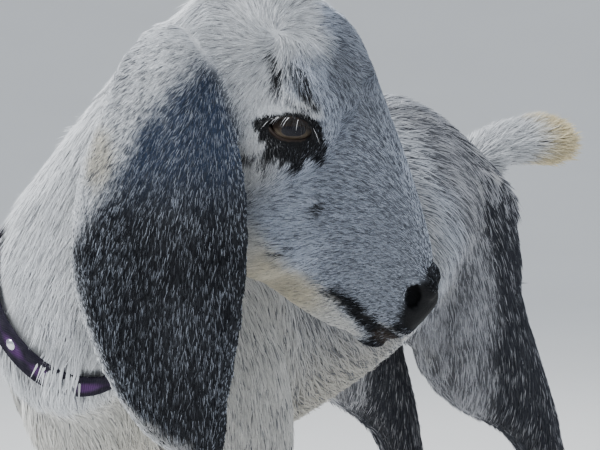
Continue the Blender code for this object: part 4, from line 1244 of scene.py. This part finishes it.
def hair_colours(on_faces, shares, draw):
    """Each tuft is pale or dark by the share of dark hairs there, with some variation."""
    count = len(on_faces)
    pale = at_roots(SKIN["pale"], on_faces, shares)
    dark = at_roots(SKIN["dark"], on_faces, shares)
    share = at_roots(SKIN["share"], on_faces, shares)
    chance = draw.random(count)
    mixed = ease(-0.12, 0.12, share - chance)
    mixed = np.clip(mixed + draw.normal(0, 0.06, count), 0, 1)[:, None]
    hue = pale + (dark - pale) * mixed
    return hue * draw.uniform(0.78, 1.18, count)[:, None]


def collar_axes():
    """The collar's hub, the way along the neck, and the left and crest across it."""
    way = unit(np.array(COLLAR_AXIS))
    left = unit(np.cross(way, (0.0, 0.0, 1.0)))
    return from_eyes(COLLAR_HUB), way, left, np.cross(left, way)


def crest_share(angle):
    """1 at the turn where the collar rides highest on the neck, 0 opposite to it."""
    return (0.5 + 0.5 * np.cos(angle - math.radians(COLLAR_CREST))) ** 1.5


def round_collar(points):
    """Each point's place about the collar's hub: along the axis, turn and distance."""
    hub, way, left, crest = collar_axes()
    off = points - hub
    angle = np.arctan2(off @ crest, off @ left)
    along = off @ way - crest_share(angle) * COLLAR_LIFT * CM
    return along, angle, np.hypot(off @ left, off @ crest)


def collar_reach(count):
    """The outer distance of the collar's solid from its hub, at even turns."""
    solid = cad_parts["collar"]
    points, faces = arrays_of(solid.data)
    tree = BVHTree.FromPolygons(points.tolist(), faces.tolist())
    hub, way, left, crest = collar_axes()
    angle = turns(count)
    lift = COLLAR_LIFT * CM * crest_share(angle)
    out = left * np.cos(angle)[:, None] + crest * np.sin(angle)[:, None]
    reach = np.zeros((3, count))
    for row, share in enumerate((-0.4, 0.0, 0.4)):
        starts = hub + way * (share * COLLAR_WIDTH * CM + lift)[:, None] + out * RAY_LENGTH
        for step in range(count):
            hit = tree.ray_cast(Vector(starts[step]), Vector(-out[step]), RAY_LENGTH)
            reach[row, step] = RAY_LENGTH - hit[3] if hit[0] is not None else np.nan
    mean = np.nanmean(reach)
    reach = np.where(np.isnan(reach), np.nanmean(reach, axis=0, keepdims=True), reach)
    reach = np.where(np.isnan(reach), mean, reach)
    for _round in range(12):
        reach = (np.roll(reach, 1, 1) + 2 * reach + np.roll(reach, -1, 1)) / 4
    return angle, lift, out, reach


def band_rings(count=240):
    """The collar's band: a rounded flat section at each turn, pulled out by the reach."""
    angle, lift, out, reach = collar_reach(count)
    hub, way, _left, _crest = collar_axes()
    turn = turns(28)
    across = np.sign(np.cos(turn)) * np.abs(np.cos(turn)) ** 0.35
    proud = np.sign(np.sin(turn)) * np.abs(np.sin(turn)) ** 0.7
    share = np.clip(across / 0.8, -1, 1) * 0.5 + 0.5
    level = reach[0][:, None] + (reach[2] - reach[0])[:, None] * share[None]
    far = level + (proud[None] * 0.5 + 0.1) * BAND_THICK
    place = across[None] * BAND_HALF + lift[:, None]
    rings = hub + way * place[:, :, None] + out[:, None] * far[:, :, None]
    round_share = angle[:, None] / (2 * np.pi)
    return rings, np.stack(np.broadcast_arrays(round_share, across[None], proud[None]), -1)


def webbing_finish():
    """Nylon webbing: purple bars on black, in ribs of weave, worn pale in scattered spots."""
    finish = Finish("collar webbing")
    where = finish.field("weave", 1)
    x, y = (finish.add("SeparateXYZ", {}, {0: where}, axis) for axis in (0, 1))
    bars = (x * 82.0).math("SINE") * 0.35 + 0.65
    middle = (1 - (y * 1.35).math("ABSOLUTE")).math("MAXIMUM", 0.0)
    ribs = (x * 1900.0).math("SINE") * (y * 26.0).math("SINE") * 0.5 + 0.5
    wear = finish.grain(240.0, 4.0)
    purple = finish.blend(ribs, (0.035, 0.014, 0.055), (0.12, 0.05, 0.16))
    black = finish.blend(ribs, (0.006, 0.005, 0.009), (0.022, 0.02, 0.032))
    share = (bars * middle * 2.4 - 0.5).clamped()
    hue = finish.blend(share, black, purple)
    hue = finish.blend(wear**3 * 0.2, hue, (0.22, 0.19, 0.25))
    relief = finish.bump(ribs, 0.7, 0.0003)
    return finish.surface(
        Base_Color=hue, Roughness=0.85, Specular_IOR_Level=0.06, Normal=relief
    )


def steel_finish():
    """Worn steel: fine scratches in its gloss."""
    finish = Finish("stud steel")
    scratch = finish.grain(2600.0, 5.0)
    hue = finish.blend(scratch, (0.55, 0.56, 0.58), (0.75, 0.76, 0.78))
    return finish.surface(Base_Color=hue, Metallic=1.0, Roughness=scratch * 0.25 + 0.16)


def stud_dome(centre, out, radius, height):
    """A turned dome with a flange: its profile swept about the way out."""
    reach = (0.0, 1.0, 1.06, 1.0, 0.86, 0.72, 0.45, 0.2)
    level = (-0.5, -0.5, -0.2, 0.0, 0.1, 0.42, 0.8, 0.97)
    rows = smooth_rows(np.column_stack((reach, level, np.zeros(len(reach)))), 26)
    first = unit(np.cross(out, (0.0, 0.0, 1.0)))
    second = np.cross(out, first)
    angle = turns(48)[None, :, None]
    round_ = first * np.cos(angle) + second * np.sin(angle)
    rings = centre + rows[1:, None, :1] * radius * round_ + rows[1:, None, 1:2] * height * out
    return capped(rings)


def eye_ball(side):
    """An eyeball: a sphere with a swell over the iris, and each point's place on it.

    The place is its share of the radius across the gaze, above it and along it.
    """
    gaze = unit(np.array((0.18, side * 1.0, 0.05)) @ HEAD)
    level = unit(np.cross((0.0, 0.0, 1.0), gaze)) * side
    above = np.cross(gaze, level) * side
    polar = np.linspace(0.012, np.pi - 0.012, 56)[:, None]
    angle = turns(80)[None]
    radius = 1 + 0.055 * np.exp(-((polar / 0.62) ** 2))
    place = np.stack(
        (
            radius * np.sin(polar) * np.cos(angle),
            radius * np.sin(polar) * np.sin(angle),
            radius * np.cos(polar) + 0 * angle,
        ),
        axis=-1,
    )
    centre = eye_middle(side)
    axes = np.stack((level, above, gaze))
    rings = centre + place @ axes * EYE_RADIUS * 0.985 * CM
    points, faces = capped(rings)
    ends = np.array(((0, 0, 1.055), (0, 0, -1.0)))
    return points, outward(points - centre, faces), np.concatenate((place.reshape(-1, 3), ends))


def eye_finish():
    """A wet dark eye: a level pupil in a grey-brown iris whose fibres run outwards."""
    finish = Finish("goat eye")
    gaze = finish.field("gaze", 1)
    x, y, z = (finish.add("SeparateXYZ", {}, {0: gaze}, axis) for axis in range(3))
    radius = (x * x + y * y).math("SQRT")
    spoke = {0: x / (radius + 0.01), 1: y / (radius + 0.01), 2: radius * 0.5}
    fibre = finish.add("CombineXYZ", {}, spoke)
    fibres = finish.grain(9.0, 6.0, fibre)
    outer = ((radius - 0.35) * 3.0).clamped()
    below = ((0.1 - y) * 2.6).clamped()
    iris = finish.blend(outer, (0.06, 0.045, 0.03), (0.25, 0.205, 0.15))
    iris = finish.blend(fibres * 0.7, iris, (0.045, 0.032, 0.024))
    # Painted shadow of the upper lid: above its middle the iris turns dark, so its pale outer ring
    # shows only below
    iris = finish.blend(below, (0.022, 0.016, 0.013), iris)
    slot = ((x / 0.52) ** 2 * (x / 0.52) ** 2) + ((y - 0.04) / 0.21) ** 2
    pupil = ((1.12 - slot) * 6.0).clamped()
    hue = finish.blend(pupil, iris, (0.004, 0.004, 0.008))
    ring = ((radius - 0.76) * 16.0).clamped()
    hue = finish.blend(ring, hue, (0.018, 0.012, 0.010))
    back = (z * -8.0).clamped()
    hue = finish.blend(back, hue, (0.02, 0.015, 0.015))
    return finish.surface(
        Base_Color=hue,
        Roughness=0.3,
        Specular_IOR_Level=0.0,
        Coat_Weight=0.6,
        Coat_Roughness=0.03,
        Coat_IOR=1.38,
    )


def lid_rim(side, swell, rise, count=72):
    """The lens-shaped edge of the lids on the dome of the eye, as points."""
    angle = turns(count)
    long = LID_HALF_WIDTH * swell * np.cos(angle)
    high = LID_HALF_HEIGHT * swell * np.sin(angle) * np.abs(np.sin(angle)) ** 0.3
    tilt = math.radians(LID_TILT)
    forward = long * math.cos(tilt) - high * math.sin(tilt)
    up = long * math.sin(tilt) + high * math.cos(tilt)
    off = np.hypot(forward, up)
    dome = np.sqrt(np.maximum((EYE_RADIUS + rise) ** 2 - off**2, 0.12))
    return on_head(np.stack((forward, side * (EYE_SIDE + dome), up), axis=1)), angle


def lid_tube(side):
    """The bare edge of both lids: a closed tube, thicker over the upper one."""
    path, angle = lid_rim(side, 0.97, 0.10)
    thick = (0.095 + 0.035 * np.maximum(np.sin(angle), 0)) * CM
    way = unit(np.roll(path, -1, 0) - np.roll(path, 1, 0))
    centre = eye_middle(side)
    out = unit(path - centre)
    rings = rings_round(path, thick, out, np.cross(way, out), 14)
    points = rings.reshape(-1, 3)
    return points, outward(points - centre, grid_faces(*rings.shape[:2], True))


def lid_finish():
    """Black wet skin with fine folds."""
    finish = Finish("lid edge")
    folds = finish.grain(1500.0, 4.0)
    hue = finish.blend(folds, (0.006, 0.004, 0.004), (0.03, 0.02, 0.015))
    return finish.surface(
        Base_Color=hue,
        Roughness=0.5,
        Specular_IOR_Level=0.12,
        Normal=finish.bump(folds, 0.4, 0.0003),
    )


def horn_finish():
    """Hoof horn: growth rings across it, with pale scuffs that are also rougher."""
    finish = Finish("hoof horn")
    where = finish.place()
    z = finish.add("SeparateXYZ", {}, {0: where}, 2)
    wander = finish.grain(60.0, 3.0)
    rings = ((z * 2600.0) + wander * 5.0).math("SINE") * 0.5 + 0.5
    hue = finish.blend(rings * 0.6 + wander * 0.4, (0.035, 0.030, 0.027), (0.12, 0.10, 0.085))
    scuff = finish.grain(700.0, 5.0)
    hue = finish.blend(scuff**3 * 0.6, hue, (0.28, 0.25, 0.21))
    return finish.surface(
        Base_Color=hue, Roughness=scuff * 0.3 + 0.38, Normal=finish.bump(rings, 0.35, 0.0004)
    )


def claw(node):
    """Half a hoof: rings that narrow from a flat sole to the coronet, pointed in front."""
    low, high = (np.array(corner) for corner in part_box(node))
    middle, size = (low + high) / 2, high - low
    height = np.concatenate(
        ((0.0, 0.012, 0.04), np.linspace(0.1, 0.94, 14), (0.985, 1.0))
    )
    inset = np.interp(height, (0, 0.012, 0.04, 0.94, 0.985, 1.0), (0.93, 0.975, 1, 1, 0.95, 0.86))
    length = HOOF_LENGTH * CM / 2 * (1 - 0.30 * height) * inset
    half = size[0] / 2 * (1 - 0.14 * height) * inset
    toe = high[1] - 0.35 * HOOF_LENGTH * CM
    lean = (1 - height) * HOOF_HEIGHT * CM * 0.22
    angle = turns(40)
    y = -np.cos(angle)[None] * length[:, None]
    bow = np.abs(np.sin(angle)) ** 0.62 * np.sign(np.sin(angle))
    narrow = 1 - 0.32 * np.clip(-y / (HOOF_LENGTH * CM), 0, 1)
    x = bow[None] * half[:, None] * narrow
    z = np.broadcast_to((height * HOOF_HEIGHT * CM * 0.985)[:, None], x.shape)
    rings = np.stack((middle[0] + x, toe - lean[:, None] + y, z), axis=-1)
    return capped(rings)


def coat_finish():
    """Hair: its own colour with a soft sheen along it."""
    finish = Finish("coat hair")
    hue = finish.field("hair")
    grain = finish.grain(900.0, 2.0)
    hue = finish.blend(grain * 0.25, hue, (0.02, 0.02, 0.025))
    return finish.surface(
        Base_Color=hue,
        Roughness=0.62,
        Specular_IOR_Level=0.12,
        Sheen_Weight=0.03,
        Sheen_Roughness=0.5,
    )


def hide_finish():
    """Skin under the coat: its markings, broken by short flat fur as bump."""
    finish = Finish("hide")
    hue = finish.field("hair")
    grain = finish.grain(1400.0, 3.0)
    hue = finish.blend(grain * 0.5, hue, (0.02, 0.02, 0.02))
    wet = finish.field("moist", 2)
    height = finish.grain(1100.0, 4.0)
    return finish.surface(
        Base_Color=hue,
        Roughness=0.75 - wet * 0.15,
        Specular_IOR_Level=0.06,
        Normal=finish.bump(height, 0.5, 0.0006),
    )


class SkinSizes(bpy.types.PropertyGroup):
    """The make of the skin."""

    join_gap: bpy.props.FloatProperty(
        name="Joining swell",
        description="How far each node of flesh is pushed out so that neighbours meet",
        default=0.4 * MM,
        unit="LENGTH",
    )
    voxel: bpy.props.FloatProperty(
        name="Grain of the skin",
        description="Size of the cells that fuse the flesh into one skin",
        default=1.6 * MM,
        unit="LENGTH",
    )
    swing: bpy.props.FloatProperty(
        name="Swing of the far ear",
        description="How far the lower part of the left ear hangs back from the jaw",
        default=11 * MM,
        unit="LENGTH",
    )
    smoothing: bpy.props.IntProperty(
        name="Smoothing rounds",
        description="Rounds that take the facets of the solids out of the skin",
        default=14,
    )
    triangles: bpy.props.IntProperty(
        name="Triangles", description="Most triangles of the skin", default=170000
    )


class CoatSizes(bpy.types.PropertyGroup):
    """Lengths of the hair by region."""

    face_hair: bpy.props.FloatProperty(
        name="Face", description="Hair on the cheeks", default=4.6 * MM, unit="LENGTH"
    )
    ear_hair: bpy.props.FloatProperty(
        name="Ears", description="Hair on the ears", default=4.3 * MM, unit="LENGTH"
    )
    neck_hair: bpy.props.FloatProperty(
        name="Neck", description="Hair on the neck", default=15 * MM, unit="LENGTH"
    )
    body_hair: bpy.props.FloatProperty(
        name="Body", description="Hair on the trunk", default=16 * MM, unit="LENGTH"
    )
    leg_hair: bpy.props.FloatProperty(
        name="Legs", description="Hair on the upper legs", default=9 * MM, unit="LENGTH"
    )
    tail_hair: bpy.props.FloatProperty(
        name="Tail", description="Hair on the tail", default=15 * MM, unit="LENGTH"
    )
    fullness: bpy.props.FloatProperty(
        name="Fullness", description="Share of the full number of tufts", default=1.0
    )


class CoatColours(bpy.types.PropertyGroup):
    """Colours of the hairs."""

    white: bpy.props.FloatVectorProperty(
        name="White", description="White hair", subtype="COLOR", default=(0.86, 0.87, 0.885)
    )
    silver: bpy.props.FloatVectorProperty(
        name="Silver", description="Silver hair", subtype="COLOR", default=(0.58, 0.575, 0.57)
    )
    # Grey roan hair, its blue partly painted light: the cold cast of skylight on hair in shade
    blue_grey: bpy.props.FloatVectorProperty(
        name="Blue-grey", description="Grey roan hair", subtype="COLOR", default=(0.59, 0.635, 0.72)
    )
    charcoal: bpy.props.FloatVectorProperty(
        name="Charcoal", description="Dark hair", subtype="COLOR", default=(0.075, 0.08, 0.10)
    )
    black: bpy.props.FloatVectorProperty(
        name="Black", description="Black hair", subtype="COLOR", default=(0.006, 0.006, 0.008)
    )
    cream: bpy.props.FloatVectorProperty(
        name="Cream", description="Cream hair", subtype="COLOR", default=(0.76, 0.69, 0.53)
    )


class GOAT_OT_hide(bpy.types.Operator):
    """Make the skin that covers all the flesh in one piece"""

    bl_idname = "goat.hide"
    bl_label = "Skin"

    def execute(self, context):
        scene = context.scene
        build_skin(scene.goat_skin)
        build_lie()
        build_lengths(scene.goat_coat)
        points, parts = SKIN["points"], SKIN["parts"]
        colours = scene.goat_colours
        pale, dark, share = paint(points, parts, colours)
        ahead = across_picture(points, ear_base(1))
        rim = (rim_of_ears(parts) * (1 - ease(-2.7, -1.7, ahead)))[:, None]
        SKIN["pale"] = pale + (np.array(colours.white) - pale) * rim
        SKIN["dark"] = dark
        SKIN["share"] = share * (1 - 0.9 * rim[:, 0])
        mixed = SKIN["pale"] + (dark - SKIN["pale"]) * SKIN["share"][:, None]
        made = mesh_piece("hide", points, SKIN["faces"])
        tone = 0.30 + 0.5 * ease(0.2, 0.6, mixed.mean(axis=1))
        put_colours(made, "hair", mixed * tone[:, None])
        wet = nose_pad(points) * (1 - nostril(points))
        put_vectors(made, "moist", np.stack((wet, wet, wet), axis=1))
        dressed(made, hide_finish(), "coat", *FLESH)
        return {"FINISHED"}


class GOAT_OT_coat(bpy.types.Operator):
    """Grow the coat in tufts that follow its lie"""

    bl_idname = "goat.coat"
    bl_label = "Coat"

    def execute(self, context):
        if "lie" not in SKIN:
            raise RuntimeError("make the skin before the coat")
        face_map()
        hair = coat_finish()
        part = SKIN["main"][SKIN["faces"][:, 0]]
        middles = face_middles()
        right_of_head = from_head(middles)[:, 1] > 0
        left = middles[:, 0] > EYE_LINE[0] + TAIL_ROOT[0] * CM
        head, torso = part == HEAD_PART, part == TORSO_PART
        plan = (
            ("coat_head_right", head & right_of_head, False, 0.10),
            ("coat_head_left", head & ~right_of_head, False, 0.10),
            ("coat_ear_left", part == LEFT_EAR_PART, False, 0.09),
            ("coat_ear_right", part == RIGHT_EAR_PART, False, 0.09),
            ("coat_neck", part == NECK_PART, True, 0.11),
            ("coat_trunk_left", torso & left, True, 0.10),
            ("coat_trunk_right", torso & ~left, True, 0.10),
            ("coat_front_legs", np.isin(part, LEG_PARTS[:2]), False, 0.10),
            ("coat_hind_legs", np.isin(part, LEG_PARTS[2:]), False, 0.10),
            ("coat_tail", part == TAIL_PART, True, 0.20),
        )
        for seed, (name, chosen, long_hair, stand) in enumerate(plan):
            made = tufts(name, chosen, long_hair, stand, seed + 11)
            dressed(made, hair, "ear_coat" if "ear" in name else "coat")
        return {"FINISHED"}


class GOAT_OT_eyes(bpy.types.Operator):
    """Make the eyeballs, the edges of the lids and the lashes"""

    bl_idname = "goat.eyes"
    bl_label = "Eyes"

    def execute(self, context):
        eye, lid, hair = eye_finish(), lid_finish(), coat_finish()
        draw = np.random.default_rng(5)
        for side, word in ((1, "right"), (-1, "left")):
            points, faces, place = eye_ball(side)
            made = mesh_piece("eyeball_" + word, points, faces)
            put_vectors(made, "gaze", place)
            dressed(made, eye, "eye", "eye_" + word)
            made = mesh_piece("lid_edge_" + word, *lid_tube(side))
            dressed(made, lid, "eye")
            dressed(lashes("lashes_" + word, side, draw), hair, "coat")
        return {"FINISHED"}


def lashes(name, side, draw):
    """Lashes of the upper lid: long closed wedges that lean out and hang over the eye."""
    path, angle = lid_rim(side, 1.04, 0.22, 360)
    upper = np.flatnonzero((angle > 0.15 * np.pi) & (angle < 0.93 * np.pi))
    pick = upper[np.linspace(0, len(upper) - 1, 64).astype(int)]
    root = path[pick]
    centre = eye_middle(side)
    out = unit(root - centre)
    count = len(root)
    down = unit(np.array((0.35, 0.0, -1.0)) @ HEAD)
    lie = unit(out * 0.75 + down * 0.55 + draw.normal(0, 0.13, (count, 3)))
    aside = unit(np.cross(out, lie))
    length = draw.uniform(4.5, 7.5, count)[:, None] * MM
    half = draw.uniform(0.09, 0.14, count)[:, None] * MM
    bend = np.array((0, 0, -1.0)) * length * draw.uniform(0.35, 0.6, count)[:, None]
    mid = root + lie * length * 0.5 + bend * 0.3
    tip = root + lie * length + bend
    corners = (
        root + aside * half,
        root - aside * half,
        mid + aside * half * 0.8,
        mid - aside * half * 0.8,
        mid + out * half,
        tip,
    )
    made, faces = wedges(name, corners, LONG_FACES)
    rear = (angle[pick] > 0.5 * np.pi) & (angle[pick] < 0.78 * np.pi)
    pale = draw.random(count) < np.where(rear, 0.34, 0.03)
    tone = np.where(pale, draw.uniform(0.5, 0.95, count), draw.uniform(0.01, 0.04, count))
    tone = tone[:, None, None] * np.ones((count, 6, 3))
    put_colours(made, "hair", tone.reshape(-1, 3))
    shares = np.full((count, 3), 1 / 3)
    middles = face_middles()
    close = np.flatnonzero(np.linalg.norm(middles - centre, axis=1) < 3 * CM)
    near = close[np.linalg.norm(root[:, None] - middles[close][None], axis=2).argmin(axis=1)]
    spots = unwrapped(at_roots(SKIN["points"], near, shares), near)
    put_patches(made, faces, spots, LONG_PATCH)
    return made


class GOAT_OT_hooves(bpy.types.Operator):
    """Make the two claws of each hoof"""

    bl_idname = "goat.hooves"
    bl_label = "Hooves"

    def execute(self, context):
        horn = horn_finish()
        for node in sorted(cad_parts):
            if node.startswith("hoof_"):
                made = mesh_piece(node.replace("hoof", "claw"), *claw(node))
                dressed(made, horn, "hoof", node)
        return {"FINISHED"}


class GOAT_OT_collar(bpy.types.Operator):
    """Make the webbing collar and its stud"""

    bl_idname = "goat.collar"
    bl_label = "Collar"

    def execute(self, context):
        rings, weave = band_rings()
        points = rings.reshape(-1, 3)
        faces = outward(points - points.mean(axis=0), grid_faces(*rings.shape[:2], True))
        made = mesh_piece("collar_band", points, faces)
        put_vectors(made, "weave", weave.reshape(-1, 3))
        dressed(made, webbing_finish(), "webbing", "collar")
        centre = middle_of("collar_stud")
        angle = round_collar(centre[None])[1][0]
        _hub, _way, left, crest = collar_axes()
        out = left * math.cos(angle) + crest * math.sin(angle)
        points, faces = stud_dome(centre, out, STUD_RADIUS, STUD_HEIGHT)
        made = mesh_piece("collar_rivet", points, outward(points - centre, faces))
        dressed(made, steel_finish(), "stud", "collar_stud")
        return {"FINISHED"}


class GOAT_OT_stage(bpy.types.Operator):
    """Set the floor, the soft light and the camera"""

    bl_idname = "goat.stage"
    bl_label = "Stage"

    def execute(self, context):
        angle = turns(FLOOR_SIDES)
        bend = np.linspace(0, np.pi / 2, 14)
        radius = np.concatenate(((0.5, 1.2, 2.0), 3.0 + 7.0 * np.sin(bend), (10.0,)))
        height = np.concatenate(((0, 0, 0), 4.5 - 4.5 * np.cos(bend), (7.0,)))
        rings = np.stack(
            (
                radius[:, None] * np.cos(angle),
                radius[:, None] * np.sin(angle),
                np.broadcast_to(height[:, None], (len(radius), FLOOR_SIDES)),
            ),
            axis=-1,
        )
        points = np.concatenate((rings.reshape(-1, 3), np.zeros((1, 3))))
        faces = grid_faces(len(radius), FLOOR_SIDES)[:, ::-1].tolist()
        mesh = bpy.data.meshes.new("floor")
        hub = len(points) - 1
        faces += [(hub, step, (step + 1) % FLOOR_SIDES) for step in range(FLOOR_SIDES)]
        mesh.from_pydata(points.tolist(), [], faces)
        floor = linked("floor", mesh)
        mesh.shade_smooth()
        finish = Finish("pale floor")
        tone = finish.grain(3.0, 2.0)
        hue = finish.blend(tone, (0.74, 0.74, 0.73), (0.78, 0.78, 0.77))
        mesh.materials.append(finish.surface(Base_Color=hue, Roughness=0.85))
        world = bpy.data.worlds.new("soft room")
        world.use_nodes = True
        sky = world.node_tree.nodes["Background"]
        sky.inputs["Color"].default_value = (0.80, 0.86, 0.95, 1)
        sky.inputs["Strength"].default_value = 1.0
        context.scene.world = world
        for name, place, size, power, hue in LIGHTS:
            lamp = bpy.data.lights.new(name, "AREA")
            lamp.size = size
            lamp.energy = power
            lamp.color = hue
            made = linked(name, lamp)
            made.location = place
            aim = Vector(LIGHT_AIM) - Vector(place)
            made.rotation_euler = aim.to_track_quat("-Z", "Y").to_euler()
        lens = bpy.data.cameras.new("camera")
        lens.lens = LENS
        lens.sensor_width = 36
        lens.clip_end = 60
        camera = linked("camera", lens)
        camera.location = from_eyes(CAMERA_PLACE)
        dip, heading = math.radians(CAMERA_DIP), math.radians(CAMERA_HEADING)
        camera.rotation_euler = (math.pi / 2 - dip, 0, heading)
        context.scene.camera = camera
        return {"FINISHED"}


class GOAT_PT_panel(bpy.types.Panel):
    """Lists the pieces of the goat"""

    bl_label = "Nubian goat"
    bl_idname = "GOAT_PT_panel"
    bl_space_type = "VIEW_3D"
    bl_region_type = "UI"
    bl_category = "Goat"

    def draw(self, context):
        for group in ("goat_skin", "goat_coat", "goat_colours"):
            box = self.layout.box()
            settings = getattr(context.scene, group)
            for key in settings.__annotations__:
                box.prop(settings, key)
        for operator in OPERATORS:
            self.layout.operator(operator.bl_idname)


OPERATORS = (
    GOAT_OT_hide,
    GOAT_OT_coat,
    GOAT_OT_eyes,
    GOAT_OT_hooves,
    GOAT_OT_collar,
    GOAT_OT_stage,
)
CLASSES = (SkinSizes, CoatSizes, CoatColours, *OPERATORS, GOAT_PT_panel)


def register():
    for made in CLASSES:
        bpy.utils.register_class(made)
    bpy.types.Scene.goat_skin = bpy.props.PointerProperty(type=SkinSizes)
    bpy.types.Scene.goat_coat = bpy.props.PointerProperty(type=CoatSizes)
    bpy.types.Scene.goat_colours = bpy.props.PointerProperty(type=CoatColours)


def unregister():
    del bpy.types.Scene.goat_colours
    del bpy.types.Scene.goat_coat
    del bpy.types.Scene.goat_skin
    for made in reversed(CLASSES):
        bpy.utils.unregister_class(made)


def main():
    register()
    bpy.ops.goat.hide()
    bpy.ops.goat.coat()
    bpy.ops.goat.eyes()
    bpy.ops.goat.hooves()
    bpy.ops.goat.collar()
    bpy.ops.goat.stage()


if __name__ == "__main__":
    main()
